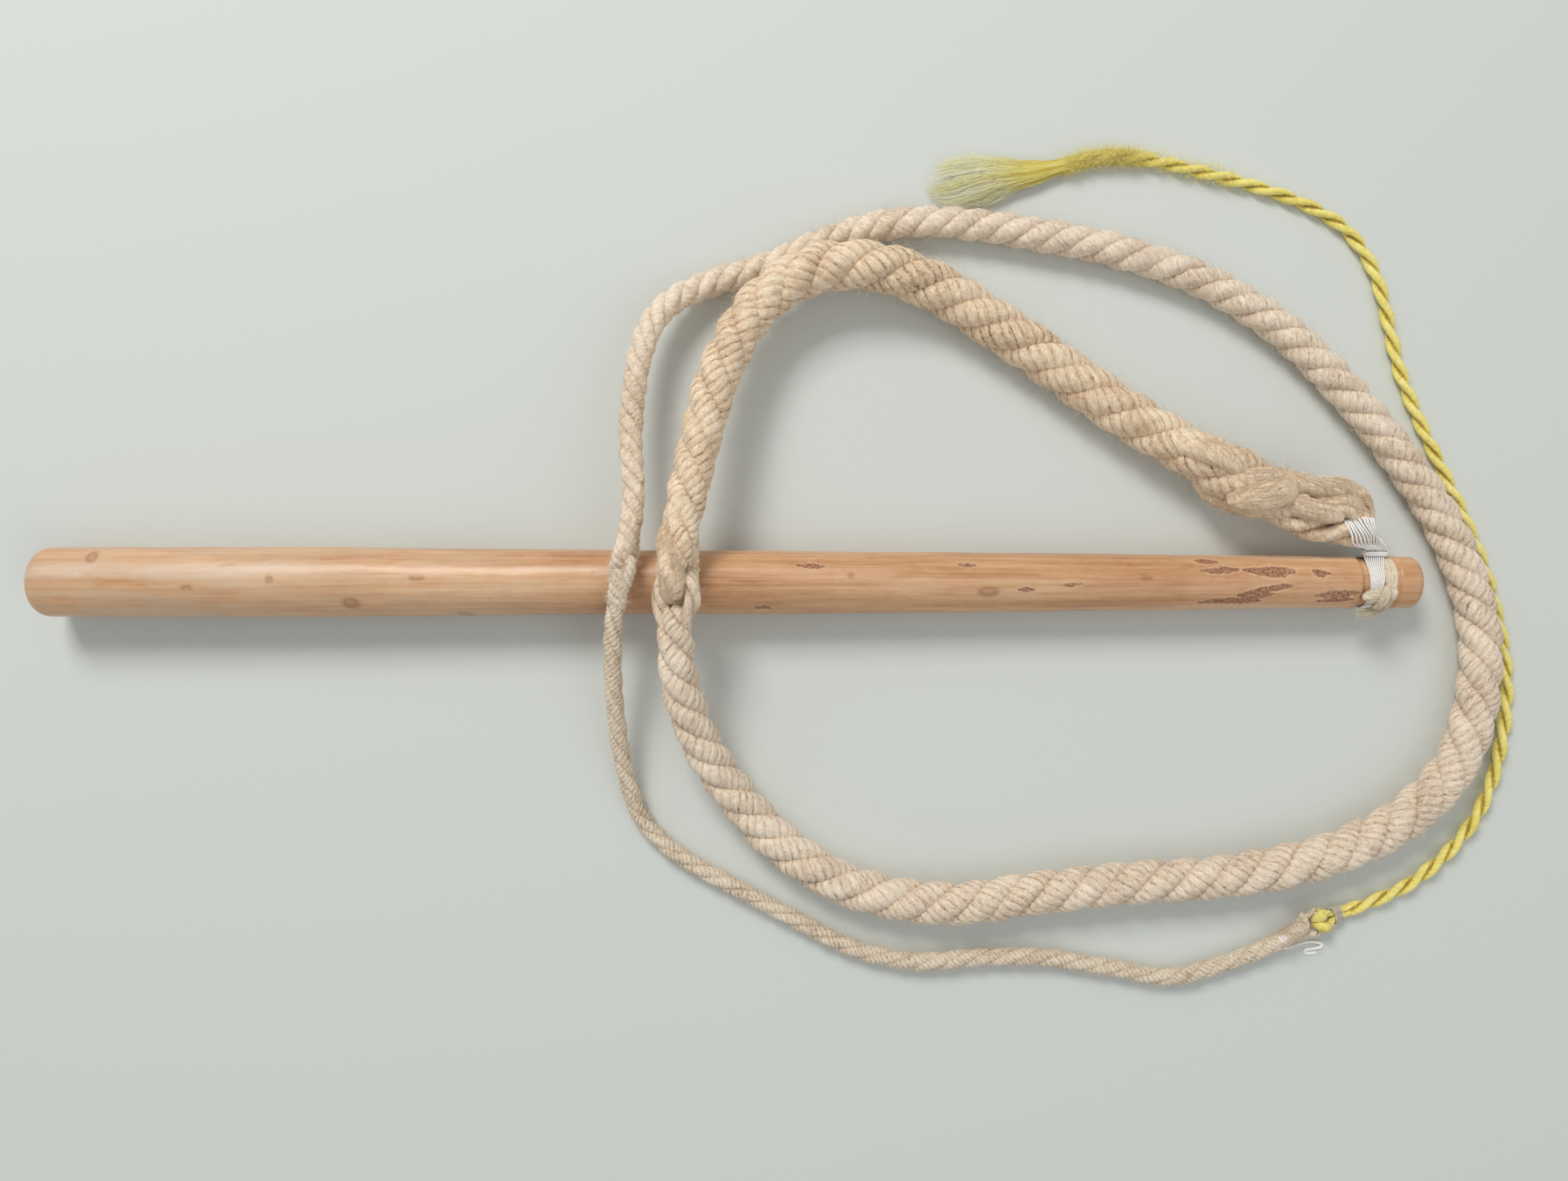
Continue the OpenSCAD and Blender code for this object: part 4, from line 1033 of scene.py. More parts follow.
# the two strands that lie side by side over the upper leg, and end under the twine
soup = Soup()
lump(soup, [(262, 52, 27.5), (270, 51, 29.5), (279, 48.5, 30.5), (288, 46.4, 30.2), (297, 46.2, 29.8),
            (306, 44.5, 28.5), (313, 40.5, 26), (317.5, 34, 22.5)],
     [7, 9.5, 9.6, 9.8, 9.8, 9.6, 9, 7], [6, 8, 8, 8.4, 8.4, 8, 7, 5], 190, 65, jitter=0.4, twist=0.05,
     points_n=30, ridge=4.2)
lump(soup, [(289, 39.8, 27), (297, 39.9, 29.5), (304.5, 39.6, 30), (311, 37.2, 28.8), (315, 32, 26)],
     [5, 7.4, 7.8, 7.6, 6], [5, 7, 7, 6.5, 5], 120, 68, radius=0.09, ridge=3.1, jitter=0.25)
# the inner strand's next turn closes the eye down to the twine
lump(soup, [(291, 35.6, 27.5), (298.5, 36.4, 29.2), (305.5, 35.2, 29.0), (311.5, 31.6, 26.5)],
     [6, 8.2, 8.4, 7], [5, 7, 7, 5], 90, 70, radius=0.09, ridge=3.0, jitter=0.25)
hairs(soup, Line(curve([(268, 51, 26), (288, 46, 27), (306, 43, 26)]), 0.4), 10, 160, (2, 6), seed=69)
pinched(soup).build("rope_a_upper_strands", HEMP)
soup = Soup()
lump(soup, [(267, 40, 27), (276, 37.6, 30.4), (285, 34.8, 31.8), (293, 33, 31), (300.5, 32.4, 28.5)],
     [7, 10.4, 10.8, 9.8, 6.5], [6, 8.5, 9, 8, 5], 170, 67, ridge=3.1, jitter=0.35, radius=0.10)
soup.build("rope_a_tucked_strand", HEMP, "rope_a_tuck")

# ---- links on top of the handle ----

LINK_AB = np.array([-23.5, 3.4, 44.9138])
LINK_AB_R = 9.4
south = np.array([0, -1.0, 0])


def turned(line, d, share):
    """How far the strands of a laid rope have turned at each sample of its line."""
    return np.concatenate([[0], np.cumsum(2 * math.pi / (d[:-1] * share) * np.diff(line.s))])


def throat(soup, points, sizes, share, theta, join=None, **more):
    """A rope's strands run on past its laid end, between the legs of its eye.

    theta is the strands' angle at the first point, or at the point whose place is join."""
    line, d = with_sizes(np.array(points, float), sizes, 0.4)
    if join is not None:
        at = ((line.p - join) ** 2).sum(1).argmin()
        theta = theta + turned(line, d, share)[at]
    laid(soup, line, d, d * share, d * 0.15, theta=theta, **more)
    return line


line = eye_line(path_a[-1], out_last(path_a), LINK_AB, south, steep(south), 4.95, LINK_AB_R, 9)
soup = Soup()
thick = per(line, [(0, 11.8), (0.3, 11.8), (0.46, 10.8), (0.6, 9), (0.7, 7), (1, 6.6)])
laid(soup, line, thick, 46.0, 4.0, strands=2, rc=0.20, rs=0.31, theta=0.4, seed=14,
     amp=0.03, paint=0.25, sides=24, rough=0.06, deep_from=95)
bundle(soup, line, 150, thick, radius=0.08, skin=True, jitter=0.3, points=30, loose=0.5, seed=14,
       twist=-0.1, tint=0.9)
plait = Line(line.p[int(len(line.p) * 0.62):] + np.array([1.2, 0, 0.6]), 0.3, "carried")
laid(soup, plait, 7.6, 12.0, 1.9, strands=3, theta=0.2, seed=24, amp=0.05, paint=0.5, sides=16, rough=0.06)
hairs(soup, line, 10, 180, (1.5, 5), seed=14, top=False)
for v in soup.v:
    # the upper leg lies drawn in against the other one
    near = smoothstep(-9, 0, v[:, 1]) * (1 - smoothstep(12, 26, v[:, 1]))
    v[:, 0] += 2.6 * smoothstep(44, 50, v[:, 2]) * near
back = line_a.L - 8
throat(soup, [line_a.at(back, line_a.p), line_a.at(back + 4, line_a.p), (-20.9, 30, 44.6), (-21.8, 21, 47.2),
              (-22.4, 13, 48.6), (-22.0, 6, 48.8)], [19.6, 19.2, 18.8, 17, 14.5, 11],
       2.34, 0.4 - np.interp(back, line_a.s, turned(line_a, size_a, 2.34)), seed=1, oval=1.12,
       amp=0.07, paint=0.75, rough=0.05, sides=24, fracs=(0, 0.18, 0.5, 0.82))
lump(soup, [(-28.2, 27, 45.5), (-28.2, 19.5, 49.6), (-26.6, 12.6, 52.2), (-24.9, 6, 53.4), (-23.8, -1, 52.6),
            (-24.3, -7.2, 48.6)],
     [6, 9.6, 10.8, 11, 10.8, 8], [5, 8, 8.4, 8.4, 8.4, 7], 130, 131, radius=0.08, twist=-0.08, tint=0.9,
     points_n=26, ridge=3.6)
hairs(soup, Line(curve([(-25, 20, 50), (-24, 6, 51), (-24, -6, 49)]), 0.4), 11, 150, (1.5, 5), seed=132)
seated(soup).build("rope_a_link", HEMP, "rope_a_link_eye")

line = eye_line(path_b[0], out_first(path_b), LINK_AB + south * LINK_AB_R, -south, flat(south),
                4.45, LINK_AB_R, 8)
soup = Soup()
thick = per(line, [(0, 7.6), (0.35, 7.6), (0.5, 8.8), (0.7, 9.8), (1, 10.2)])
laid(soup, line, thick, 34.0, 3.0, strands=2, rc=0.21, rs=0.30, theta=1.9, seed=15,
     amp=0.04, paint=0.4, sides=22, rough=0.06, deep_from=90)
bundle(soup, line, 120, thick, radius=0.08, skin=True, jitter=0.25, points=30, loose=0.5, seed=15,
       twist=-0.12, tint=0.9)
hairs(soup, line, 9, 160, (1.5, 4), seed=15, top=False)
throat(soup, [(-24.6, -11.5, 43.5), (-24.4, -17.5, 43.4), path_b[0] + [0, 0, 0.4], (-24.2, -32, 39.9)],
       [8.5, 13.5, 17.6, 18.6], 2.42, 1.2, path_b[0], seed=2, oval=1.1,
       amp=0.06, paint=0.65, rough=0.05, sides=20)
hairs(soup, Line(curve([(-24.5, -12, 43), (-24.4, -20, 42), (-24, -32, 40)]), 0.4), 15, 150,
      (1.5, 4), seed=133)
seated(soup).build("rope_b_link", HEMP_B, "rope_b_link_eye")

LINK_BC = np.array([-49, 12, 39.165])
LINK_BC_R = 5.0
bc_along = unit(np.array([-0.2, -1.0, 0]))
over_b = [(-46.0, 31, 39.6), (-46.9, 24, 40.6), (-48.3, 17, 41.4), (-49.4, 11.5, 40.8)]
over_c = [(-53.3, -11.5, 35.3), (-52.8, -5, 37.2), (-51.9, 1, 39.0), (-50.5, 7.5, 40.4)]
for name, look, replaced, route, over, sizes, seed in (
        ("rope_b_end_link", HEMP_B, "rope_b_end_eye",
         (path_b[-1], out_last(path_b), LINK_BC, bc_along, steep(bc_along), 2.5),
         over_b, [11.3, 10.8, 9.6, 6.5], 16),
        ("rope_c_link", HEMP_C, "rope_c_eye",
         (path_c[0], out_first(path_c), LINK_BC + bc_along * LINK_BC_R, -bc_along, flat(bc_along), 2.3),
         over_c, [9.6, 9.6, 9.2, 6.5], 17)):
    line = eye_line(*route, LINK_BC_R, 4, 0.2)
    soup = Soup()
    laid(soup, line, 5.9, 10.5, 1.5, strands=3, rc=0.25, rs=0.27, theta=0.6, seed=seed,
         amp=0.04, paint=0.35, sides=14, rough=0.07, deep_from=80)
    hairs(soup, line, 5.8, 260, (1, 4), radius=0.045, seed=seed, top=False)
    line = throat(soup, over, sizes, 1.5, 0.6, seed=seed + 120, amp=0.05, paint=0.4, rough=0.07, sides=16)
    hairs(soup, line, 9.5, 260, (1, 4), radius=0.045, seed=seed + 20)
    seated(soup).build(name, look, replaced)

# ---- hitch: twine through the eye and round the handle ----

TURNS = 10
STICK_C = np.array([321.0, 0, 13.8022])
NECK_DIR = np.array([0, 0.920067, 0.391761])
NECK_SIDE = np.array([0, -0.391761, 0.920067])
STICK_R = 12.55
NECK_IN, NECK_OUT = 14.5, 17.9
WRAP_R = 7.0
# the middle of the turns on the stick, the first of them at the neck and over the eye; their pitch
STICK_X, STICK_PITCH = 319.5, 0.8
NECK_X, NECK_PITCH = 315.3, 1.06
FAN_X, FAN_PITCH = 300.9, 2.0


def stick_point(q, angle):
    """On turn q where it goes round the stick."""
    a = math.radians(angle)
    gather = 0.3 * smoothstep(45, 100, angle) * (1 - smoothstep(200, 290, angle))
    x = STICK_X + (q - TURNS / 2) * STICK_PITCH * (1 - gather) - 3 * gather
    return (np.array([x, 0, STICK_C[2]])
            + STICK_R * (NECK_DIR * math.cos(a) + NECK_SIDE * math.sin(a)))


def neck_point(q, reach, s):
    """On turn q between the stick and the eye, on the upper (s = 1) or the lower side."""
    x = NECK_X + q * NECK_PITCH
    return np.array([x, 0, STICK_C[2]]) + NECK_DIR * reach + NECK_SIDE * 0.9 * s


def strand_point(q, t, s):
    """On turn q over (s = 1) or under (s = -1) the eye: t is 0 in its hole and 1 at its nose."""
    x = FAN_X + q * FAN_PITCH + 0.2 * math.sin(2.4 * int(q)) * (1 - t)
    x += (NECK_X + q * NECK_PITCH - x) * (0.28 + 0.036 * q) * t ** 1.3
    y = 31.6 - 14.4 * t
    ahead, beside = x - EYE_BEND[0], EYE_BEND[1] - y
    off = (beside if ahead < 0 else math.hypot(ahead, beside)) - EYE_R
    z = math.sqrt(max(0.3, WRAP_R ** 2 - off * off))
    return np.array([x, y, EYE_BEND[2] + s * (min(z, 2.5) if t == 0 else z)])


def hitch_points():
    """The twine's whole way: round the stick, along the neck, under the eye and back over it."""
    pts = [neck_point(0, NECK_OUT + 0.8, 1)]
    steps = (0.08, 0.2, 0.42, 0.65, 0.9)
    for i in range(TURNS):
        pts += [neck_point(i, NECK_OUT, 1), neck_point(i + 1 / 24, NECK_IN, 1)]
        pts += [stick_point(i + (2 + k) / 24, 31 + k * 29.8) for k in range(11)]
        pts += [neck_point(i + 13 / 24, NECK_IN, -1), neck_point(i + 14 / 24, NECK_OUT, -1)]
        pts += [strand_point(i + 0.6, t, -1) for t in steps[::-1]]
        pts += [strand_point(i + 0.7, 0, 1)]
        pts += [strand_point(i + 0.8, t, 1) for t in steps]
    return pts + [neck_point(TURNS, NECK_OUT, 1), neck_point(TURNS, NECK_OUT - 0.8, 1)]


soup = Soup()
line = Line(curve(hitch_points(), 8), 0.6, "carried")
# the thread is drawn as thick as its turns leave room: they lie two deep on the stick
thick = 0.35 + 0.08 * smoothstep(11, 14.5, line.p[:, 1]) + 0.30 * smoothstep(17, 27, line.p[:, 1])
cord_tube(soup, line, thick * (1 + 0.1 * noise1(line.s / 7, 44)), 10, beside=X_AXIS)
pinched(soup).build("hitch_twine", TWINE, "hitch_loop")


def seizing(c, wide, thick, along, half_w, half_h, turns, pitch):
    """Turns round a flat section: half_w to each side, half_h up and down, with round sides."""
    per_turn = 24
    pts = []
    for k in range(per_turn * turns + 1):
        a = 2 * math.pi * k / per_turn
        bend = 0 if abs(math.cos(a)) < 0.01 else math.copysign(1, math.cos(a))
        pts.append(c + wide * ((half_w - half_h) * bend + half_h * math.cos(a))
                   + thick * half_h * math.sin(a) + along * (k / per_turn - turns / 2) * pitch)
    return pts


soup = Soup()
centre = np.array([320.7, 0, STICK_C[2]]) + NECK_DIR * 16.2
line = Line(curve(seizing(centre, X_AXIS, NECK_SIDE, NECK_DIR, 6.3, 2.0, 3, 0.74), 4), 0.4, NECK_DIR)
cord_tube(soup, line, 0.39, 8, beside=NECK_DIR)
soup.build("neck_ring", TWINE, "neck_seizing")

# ---- strip, its knot and frayed tail ----

TIE_X = 326.1
soup = Soup()
ring_t = np.linspace(0, 2 * math.pi, 160)


def ring_curve(r, x):
    """Round the handle at the strip, x beside its middle."""
    return (np.array([0, 0, AXIS_Z]) + (TIE_X + np.broadcast_to(x, ring_t.shape))[:, None] * HANDLE_ALONG
            + r[:, None] * (np.array([0, 1.0, 0]) * np.cos(ring_t)[:, None]
                            + HANDLE_UP * np.sin(ring_t)[:, None]))


STRIP_FIBRES, STRIP_HALF, STRIP_R = 64, 2.6, 12.35
rs_strip = np.random.RandomState(71)
fibres = []
for k in range(STRIP_FIBRES):
    x = rs_strip.uniform(-STRIP_HALF, STRIP_HALF)
    wander = 0.25 * np.sin(ring_t + rs_strip.uniform(0, 6))
    wander += 0.2 * np.sin(2 * ring_t + rs_strip.uniform(0, 6))
    r = STRIP_R + rs_strip.uniform(0, 0.75) + 0.1 * np.sin(3 * ring_t + rs_strip.uniform(0, 6))
    fibres.append(ring_curve(r, x + wander)[::2])
tubes(soup, np.array(fibres), 0.32, 4, (1, 1, 1), tint=rs_strip.uniform(-1, 1, STRIP_FIBRES))
soup.build("hitch_strip", STRIP, "hitch_tie")

KNOT_LEAN = math.radians(27)
KNOT_OUT = np.array([0, -math.sin(KNOT_LEAN), math.cos(KNOT_LEAN)])
KNOT_ROUND = np.array([0, -math.cos(KNOT_LEAN), -math.sin(KNOT_LEAN)])
KNOT_X, KNOT_R = 319.2, 12.9 + 0.45 - 0.3


def knot_point(p):
    """A place on the knot: along the handle, round it, and out from the turns of twine."""
    return np.array([KNOT_X + p[0], 0, STICK_C[2]]) + KNOT_OUT * (KNOT_R + p[2]) + KNOT_ROUND * p[1]


soup = Soup()
roll = [(-7.5, 1.5, 2.2), (-5, 0, 3.4), (-1.5, -0.5, 3.6), (2, 0, 3.4), (5.2, -1, 3.2), (7.6, -3.5, 1.8)]
lump(soup, [knot_point(p) for p in roll], [4.4, 6.8, 7, 6, 6, 3], [3.6, 5.8, 6, 5.2, 5, 2.6], 150, 72,
     radius=0.13, jitter=0.25, twist=0.05)
loop = [(3, -4.6, 1.7), (2, -4.8, 4.6), (0.6, -2, 7.0), (-0.8, 2.2, 7.0), (-1.6, 5, 4.6), (-1, 4.7, 1.9)]
lump(soup, [knot_point(p) for p in loop], [3.6, 4.4, 4.8, 4.8, 4.2, 3],
     [2.4, 2.8, 2.8, 2.8, 2.6, 2.4], 90, 73, radius=0.12, jitter=0.2, ref="carried")
soup.build("strip_knot", STRIP, "hitch_knot")

soup = Soup()
tail = [(5, 6.1, 2.2), (1, 8.0, 1.8), (-4.5, 9.4, 1.6), (-9.5, 10.8, 1.0)]
line = Line(curve([knot_point(p) for p in tail]), 0.3, "carried")
bundle(soup, line, 170, per(line, [(0, 3), (0.4, 4.2), (0.8, 5.4), (1, 6.2)]),
       per(line, [(0, 2.4), (0.5, 3.2), (1, 2.2)]), radius=0.12, jitter=0.35, loose=0.3, seed=74, tint=0.8)
soup.build("strip_tail", STRIP, "knot_tail")

# ---- rope C's end eye, the thread, the cracker's fold and whipping ----

# the ply that goes over the eye's bar has its middle at WRAP from the middle of the bar
WRAP, END_R = 3.65, 6.6
END_BEND = np.array([294.5, -173.5, 5.05])
end_along = unit(np.array([END_BEND[0] - path_c[-1][0], END_BEND[1] - path_c[-1][1], 0]))
end_beside = np.cross(UP, end_along)
line = eye_line(path_c[-1], out_last(path_c), END_BEND, end_along, end_beside, 2.0, END_R, 4, 0.2)
soup = Soup()
laid(soup, line, 4.0, 9.5, 1.3, strands=2, rc=0.22, rs=0.29, theta=0.3, seed=18,
     amp=0.04, paint=0.35, sides=16, rough=0.06, deep_from=80)
# the rope's body runs on between the legs, as far as the cracker leaves it room
body_line = Line(curve([(280, -182, 5.9), (285, -179.3, 6.0), (289, -177.0, 6.0),
                        (292.6, -175.0, 5.6)]), 0.3)
for v in soup.v:
    # behind the cracker's fold the legs are drawn in against the rope's body
    ahead = v[:, :2] @ end_along[:2] - END_BEND[:2] @ end_along[:2]
    beside = v[:, :2] @ end_beside[:2] - END_BEND[:2] @ end_beside[:2]
    turn = np.degrees(np.arctan2(beside, ahead))
    pull = 0.46 * np.where(turn > 0, smoothstep(28, 80, turn), smoothstep(86, 125, -turn))
    pull *= smoothstep(-12.5, -8, ahead)
    v[:, :2] -= (beside * pull)[:, None] * end_beside[:2]
lump(soup, [(273, -185.5, 5.0), (279.5, -182.2, 5.3), (284.8, -179.0, 5.6), (288.6, -176.6, 5.7),
            (291.6, -174.5, 5.4)],
     [7.4, 8.4, 8.9, 9.2, 7.6], [7.4, 8.8, 8.8, 8.0, 6.6], 50, 88, radius=0.05, ridge=1.7, jitter=0.2)
lump(soup, [(289.8, -168.4, 4.6), (291.6, -171, 5.6), (292.5, -173.8, 5.8), (292.0, -176.8, 5.4),
            (291.2, -179.8, 4.4)],
     [3.2, 4.2, 4.2, 3.8, 3.0], [4, 6, 6.6, 6, 4], 30, 89, radius=0.05, ridge=1.5, jitter=0.2)
hairs(soup, body_line, 10.0, 420, (1, 4), radius=0.045, seed=118)
hairs(soup, line, 4.0, 120, (1, 3.5), radius=0.04, seed=18)
soup.build("rope_c_end_loop", HEMP_C, "rope_c_end_eye")

# the cracker's fold: its ply goes over the eye's bar, to both sides of this direction
SWING_DEG = 17
swing_out = np.array([math.cos(math.radians(SWING_DEG)), math.sin(math.radians(SWING_DEG)), 0])
swing_side = np.cross(UP, swing_out)
fold_out = out_first(path_cracker)
fold_across = np.cross(UP, fold_out)
# the ply's thickness, and how far each of the two legs lies from their middle
PLY, SPREAD = 3.1, 1.55


def bar_point(a, turn):
    """On the ply where it goes round the eye's bar: a is its place on the eye, in degrees."""
    a, turn = math.radians(a), math.radians(turn)
    return (END_BEND + np.array([math.cos(a), math.sin(a), 0]) * (END_R + WRAP * math.cos(turn))
            + UP * WRAP * math.sin(turn))


def fold_neck(reach, s, z):
    """A place on the neck between fold and cracker: s is its side, z its height."""
    return np.array([END_BEND[0], END_BEND[1], z]) + swing_out * reach + swing_side * s * SPREAD


def fold_half(s):
    """One leg of the fold, from inside the cracker to the underside of the eye's bar."""
    return ([path_cracker[0] - fold_across * s * SPREAD - fold_out * 5,
             path_cracker[0] - fold_across * s * SPREAD,
             path_cracker[0] - fold_across * s * SPREAD + fold_out * 2,
             fold_neck(16.5, s, 3.9), fold_neck(12.5, s, 5)]
            + [bar_point(SWING_DEG + s * 29, turn) for turn in range(60, 293, 29)])


nose = END_BEND + swing_out * (END_R + WRAP * 0.95) - UP * WRAP * 0.75
line = Line(curve(fold_half(1) + [nose] + fold_half(-1)[::-1], 12), 0.25, "carried")
soup = Soup()
laid(soup, line, PLY * 1.02, 16.0, 2.0, strands=2, rc=0.16, rs=0.34, theta=0.3, seed=19,
     amp=0.02, paint=0.15, sides=16, rough=0.05, deep_from=95)
# over the eye the ply spreads into two soft lobes
for s_lobe in (1, -1):
    lump(soup, [bar_point(SWING_DEG + s_lobe * 26, turn) for turn in (20, 50, 78, 106, 134, 164)],
         [3.2, 4.7, 5.3, 5.3, 5.0, 3.8], [2.6, 3.0, 3.3, 3.4, 3.2, 2.8], 60, 119 + s_lobe, radius=0.06,
         jitter=0.1, tint=0.9, ref="carried")
bundle(soup, line, 46, PLY, radius=0.06, skin=True, jitter=0.12, points=60, loose=0.4, seed=19, tint=0.8)
hairs(soup, line, PLY, 130, (1, 3), radius=0.04, seed=19)
soup.build("cracker_fold", YELLOW, "cracker_hitch")

whip_along = unit(fold_neck(16.5, 0, 3.9) - fold_neck(12.5, 0, 5))
whip_points = seizing(fold_neck(14.5, 0, 4.45), swing_side, np.cross(swing_side, whip_along),
                      whip_along, SPREAD + 2.25, 2.2, 5, 0.98)
line = Line(curve(whip_points, 4), 0.35, whip_along)
soup = Soup()
cord_tube(soup, line, 0.49 * (1 + 0.2 * noise1(line.s / 1.8, 45)), 10, beside=whip_along)
hairs(soup, line, 1.0, 160, (0.8, 2.6), radius=0.04, seed=120, top=False)
soup.build("cracker_whip_turns", GREY, "cracker_whipping")

thread_along = out_last(path_c)
thread_side = unit(np.cross(UP, thread_along))
thread_c = path_c[-1] - thread_along * 5
# two and a half turns on the rope, then a free loop that lies on the ground
THREAD_R, THREAD_PITCH, PER_TURN = 3.6, 1.3, 16
THREAD_END = [(283.5, -187.3, 0.8), (288, -186.9, 0.5), (292.5, -185.2, 0.6), (297.5, -184.2, 0.9),
              (302, -184.8, 0.9), (303.2, -186.6, 0.7), (299.5, -187.8, 0.5),
              (294.5, -188.6, 0.5), (295.5, -190.2, 0.5), (300, -189.8, 0.5)]
thread_rise = np.cross(thread_along, thread_side)
thread = [thread_c + thread_along * q * THREAD_PITCH + THREAD_R * (
    thread_side * math.cos(2 * math.pi * q) + thread_rise * math.sin(2 * math.pi * q))
    for q in np.arange(0, 2.5 * PER_TURN + 2) / PER_TURN]
thread += [np.array(p) for p in THREAD_END]


def off_rope(q):
    """Away from the rope where the thread is wound on it, and up where it lies free."""
    away = q - thread_c
    away = away - (away @ thread_along)[:, None] * thread_along
    free = smoothstep(4.1, 6.0, np.linalg.norm(away, axis=1))[:, None]
    return unit(unit(away) * (1 - free) + UP * free)


line = Line(curve(thread, 8), 0.4, off_rope)
soup = Soup()
ribbon = 0.5 + 0.32 * smoothstep(279, 285, line.p[:, 0])
cord_tube(soup, line, ribbon * (1 + 0.1 * noise1(line.s / 3, 46)), 12, flat=0.45)
end = line.p[-1]
FRAYS = 26
frays = []
rs_fray = np.random.RandomState(75)
for k in range(FRAYS):
    go = np.array([1.0, rs_fray.uniform(-0.5, 0.4), 0])
    ln = rs_fray.uniform(1.5, 4.5)
    t = np.linspace(-0.4, 1, 8)[:, None]
    p = end + go * ln * t + np.array([0, rs_fray.uniform(-1, 1), 0.2]) * np.maximum(t, 0) ** 2
    p[:, 2] = np.maximum(p[:, 2], 0.12)
    frays.append(p)
tubes(soup, np.array(frays), 0.07, 3, (1, 1, 0.4), tint=rs_fray.uniform(-1, 0.4, FRAYS))
soup.build("end_thread", TWINE, "tie_thread")

# ---- the cracker's frayed tuft ----

TUFT_AXIS = [(184, 215.6, 3.4), (175, 213.6, 3.4), (166, 211.3, 3.5), (155, 208.9, 3.9), (145, 207.6, 4.3),
             (136, 206.9, 4.6), (124, 205.2, 4.4), (112, 202.8, 3.6), (99.5, 201.2, 2.4)]
line_t = Line(curve(TUFT_AXIS), 0.5)
half = per(line_t, [(0, 3.1), (0.107, 3.1), (0.216, 3.1), (0.347, 4.3), (0.466, 5.8),
                    (0.573, 7.1), (0.714, 9.2), (0.854, 11.2), (1, 8.6)])
high = per(line_t, [(0, 3.1), (0.22, 3.0), (0.47, 3.4), (0.6, 3.7), (0.72, 3.6), (0.86, 2.8), (1, 1.6)])
# a combed mass, and the fibres that cover it and stand off its edges
shares = np.linspace(0.1, 0.86, 9)
slim = np.array([0.8, 0.9, 1, 1, 1, 0.98, 0.85, 0.6, 0.12])
body_line = [line_t.at(k * line_t.L, line_t.p) for k in shares]
soup = lump(Soup(), body_line, 1.5 * slim * line_t.at(shares * line_t.L, half),
            1.6 * slim * line_t.at(shares * line_t.L, high), 40, 134, radius=0.08, jitter=0.2, core=1.0)
for k, v in enumerate(soup.v):
    soup.a[k][:, 2] = smoothstep(163, 122, v[:, 0])
    soup.a[k][:, 1] *= 0.5
soup.u[0] = soup.u[0][:, ::-1] * [1.0, 1.6]
# three layers, each looser than the last: fibres, waviness, radius, how far out they reach
LAYERS = [(330, 0.5, 0.11, 0.97), (300, 1.2, 0.09, 1.05), (430, 2.4, 0.06, 1.16)]
for k, (n_f, rough_f, r_f, reach_q) in enumerate(LAYERS):
    rs_t = np.random.RandomState(80 + k)
    q = reach_q * rs_t.uniform(-1, 1, n_f)
    if k == 2:
        q = np.sign(q) * (0.62 + 0.5 * np.abs(q))
    up = np.where(rs_t.uniform(0, 1, n_f) < 0.86, 1, -1) * (1 + 0.12 * rs_t.uniform(-1, 1, n_f))
    up *= np.sqrt(np.maximum(0.02, 1 - np.minimum(np.abs(q), 1) ** 2.4))
    first = rs_t.uniform(0, 0.3, n_f)
    last = 1.0 - 0.26 * rs_t.uniform(0, 1, n_f) ** 1.6 - 0.10 * np.abs(q) ** 2.4
    share = np.linspace(0, 1, 14)[None, :]
    at = (first[:, None] + (last - first)[:, None] * share) * line_t.L
    order = np.arange(n_f)[:, None] + at * 0
    wander = rough_f * share * noise(np.stack([order, at / 15, at * 0], -1), 51 + k)
    wander2 = rough_f * share * noise(np.stack([order, at / 13, at * 0 + 5], -1), 61 + k)
    locks = 0.09 * noise(np.stack([q[:, None] * 7 + at * 0, at / 24, at * 0 + 3], -1), 71)
    x = (q[:, None] + locks) * line_t.at(at, half) + wander * 1.6
    y = up[:, None] * line_t.at(at, high) + wander2
    pts = line_t.at(at, line_t.p) + x[..., None] * line_t.at(at, line_t.side) + y[..., None] * UP
    pts[..., 2] = np.maximum(pts[..., 2], 0.15)
    shade = np.clip(1.5 * noise1(q * 8, 72), -1, 1) + 0.5 * rs_t.uniform(-1, 1, n_f)
    tubes(soup, pts, r_f * rs_t.uniform(0.7, 1.3, n_f), 3, (1, 1, 0.35), tint=shade,
          deep=smoothstep(0.3, 0.8, np.linspace(0, 1, 9)))
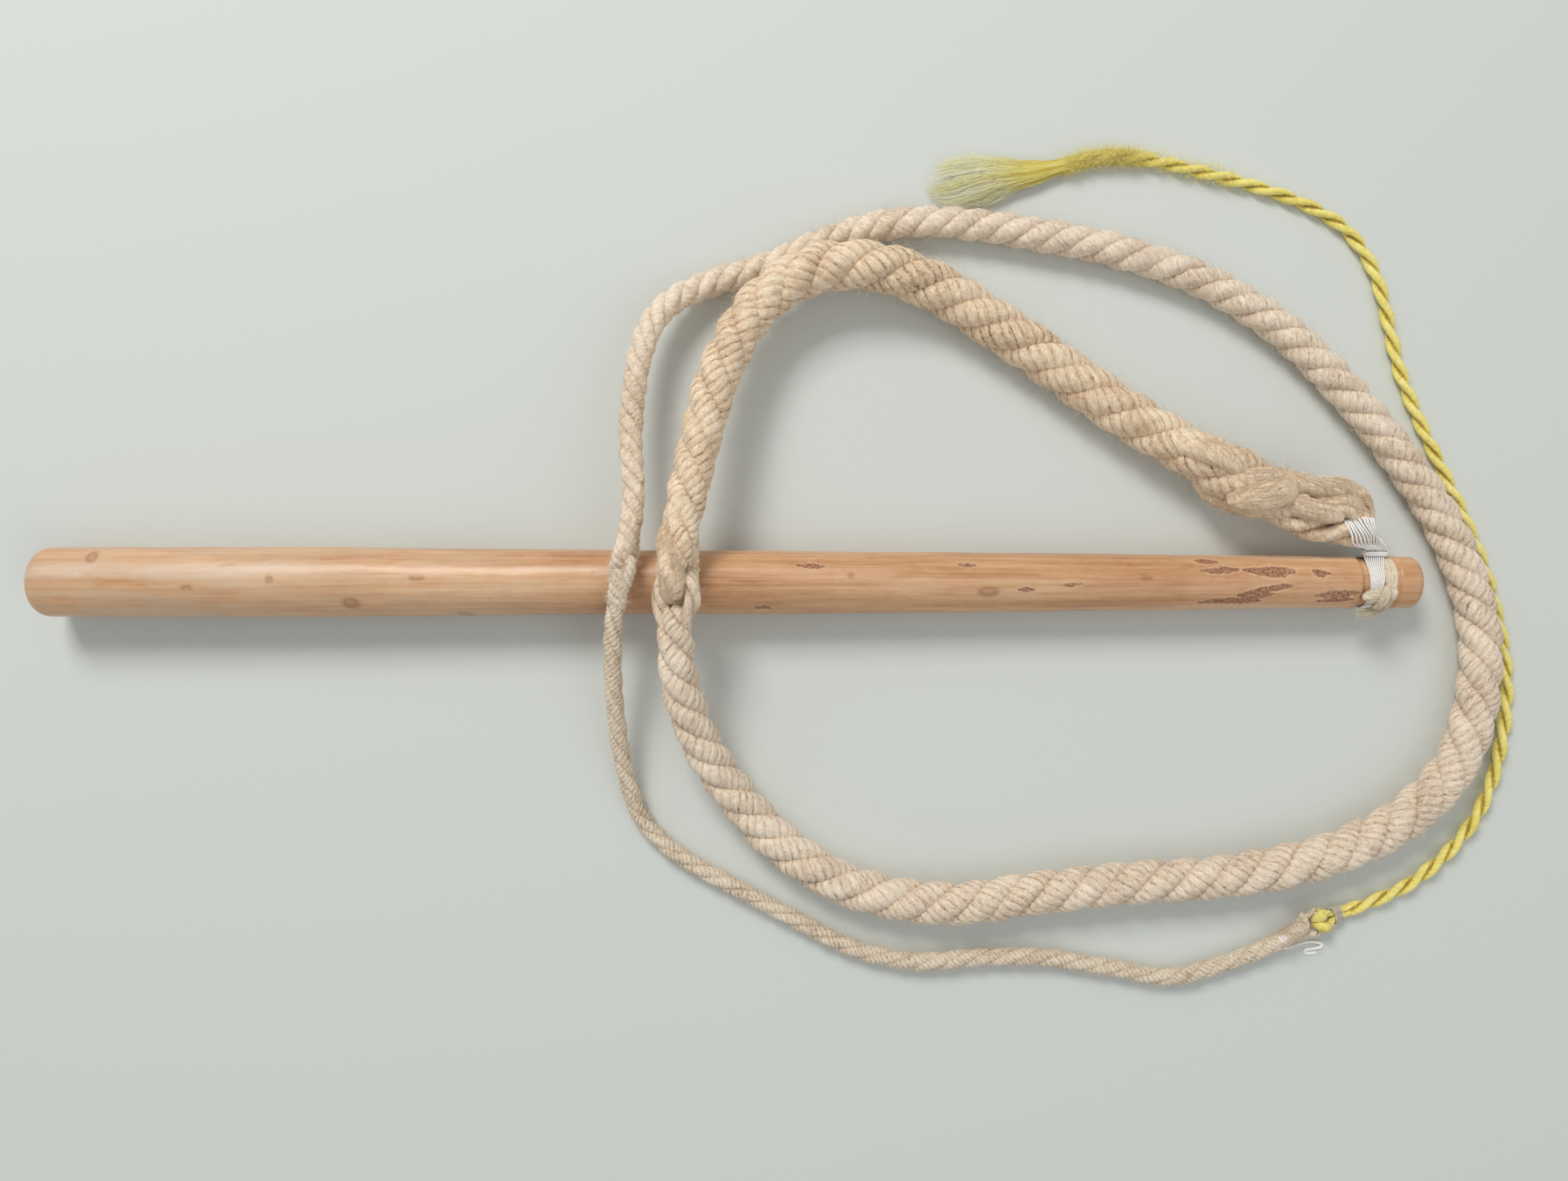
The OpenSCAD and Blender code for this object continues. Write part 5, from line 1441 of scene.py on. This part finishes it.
# loose fibres that bow away from the lower edge
LOOSE = 60
rs_t = np.random.RandomState(90)
bows = []
for k in range(LOOSE):
    x0, reach, drop = rs_t.uniform(137, 153), rs_t.uniform(20, 32), rs_t.uniform(3, 10)
    y0 = np.interp(x0, (137, 153), (198.5, 204)) + rs_t.uniform(-0.5, 3)
    bow = [(x0 + 6, y0 + 3, 4), (x0, y0, 4.5), (x0 - reach * 0.3, y0 - drop * 0.75, 4),
           (x0 - reach * 0.65, y0 - drop, 3.5),
           (x0 - reach, y0 - drop * rs_t.uniform(0.3, 0.95), 3.5)]
    bow = curve(bow, 6) + np.array([0, 0, rs_t.uniform(-2, 2)])
    bow[:, 2] = np.maximum(bow[:, 2], 0.15)
    bow[:, 1] = np.maximum(bow[:, 1], 189.0 + 1.5 * rs_t.uniform(0, 1))
    bows.append(bow)
tubes(soup, np.array(bows), 0.10, 3, (1, 1, 0.4), tint=rs_t.uniform(0, 1, LOOSE), deep=(0.6, 1))
soup.build("cracker_tuft_fibres", TUFT, "cracker_tuft")

# ---- floor and light ----

FLOOR_HALF = 3
floor_mesh = bpy.data.meshes.new("floor")
corners = [(x * FLOOR_HALF, y * FLOOR_HALF, 0) for x, y in ((-1, -1), (1, -1), (1, 1), (-1, 1))]
floor_mesh.from_pydata(corners, [], [(0, 1, 2, 3)])
floor = bpy.data.objects.new("floor", floor_mesh)
bpy.context.scene.collection.objects.link(floor)
ground = Shader("floor_pale", 0.95, specular=0.1)
ground.put(ground.ends["Base Color"], srgb(214, 218, 213))
floor_mesh.materials.append(ground.material)


def area(name, place, size, energy, colour):
    """A soft light that faces the origin."""
    light = bpy.data.lights.new(name, "AREA")
    light.size = size
    light.energy = energy
    light.color = colour
    ob = bpy.data.objects.new(name, light)
    ob.location = place
    d = -np.array(place, float)
    ob.rotation_euler = (math.atan2(math.hypot(d[0], d[1]), -d[2]), 0,
                         math.atan2(d[1], d[0]) + math.pi * 1.5)
    bpy.context.scene.collection.objects.link(ob)


area("key", (-0.7, 1.5, 1.7), 0.8, 34, (1.0, 0.985, 0.96))
area("fill", (1.2, -1.0, 1.8), 1.8, 9, (0.97, 0.985, 1.0))
world = bpy.data.worlds.new("world")
world.use_nodes = True
sky = world.node_tree.nodes["Background"].inputs
sky["Color"].default_value = (0.96, 0.98, 1.0, 1)
sky["Strength"].default_value = 0.42
bpy.context.scene.world = world
bpy.context.scene.view_settings.view_transform = "Standard"
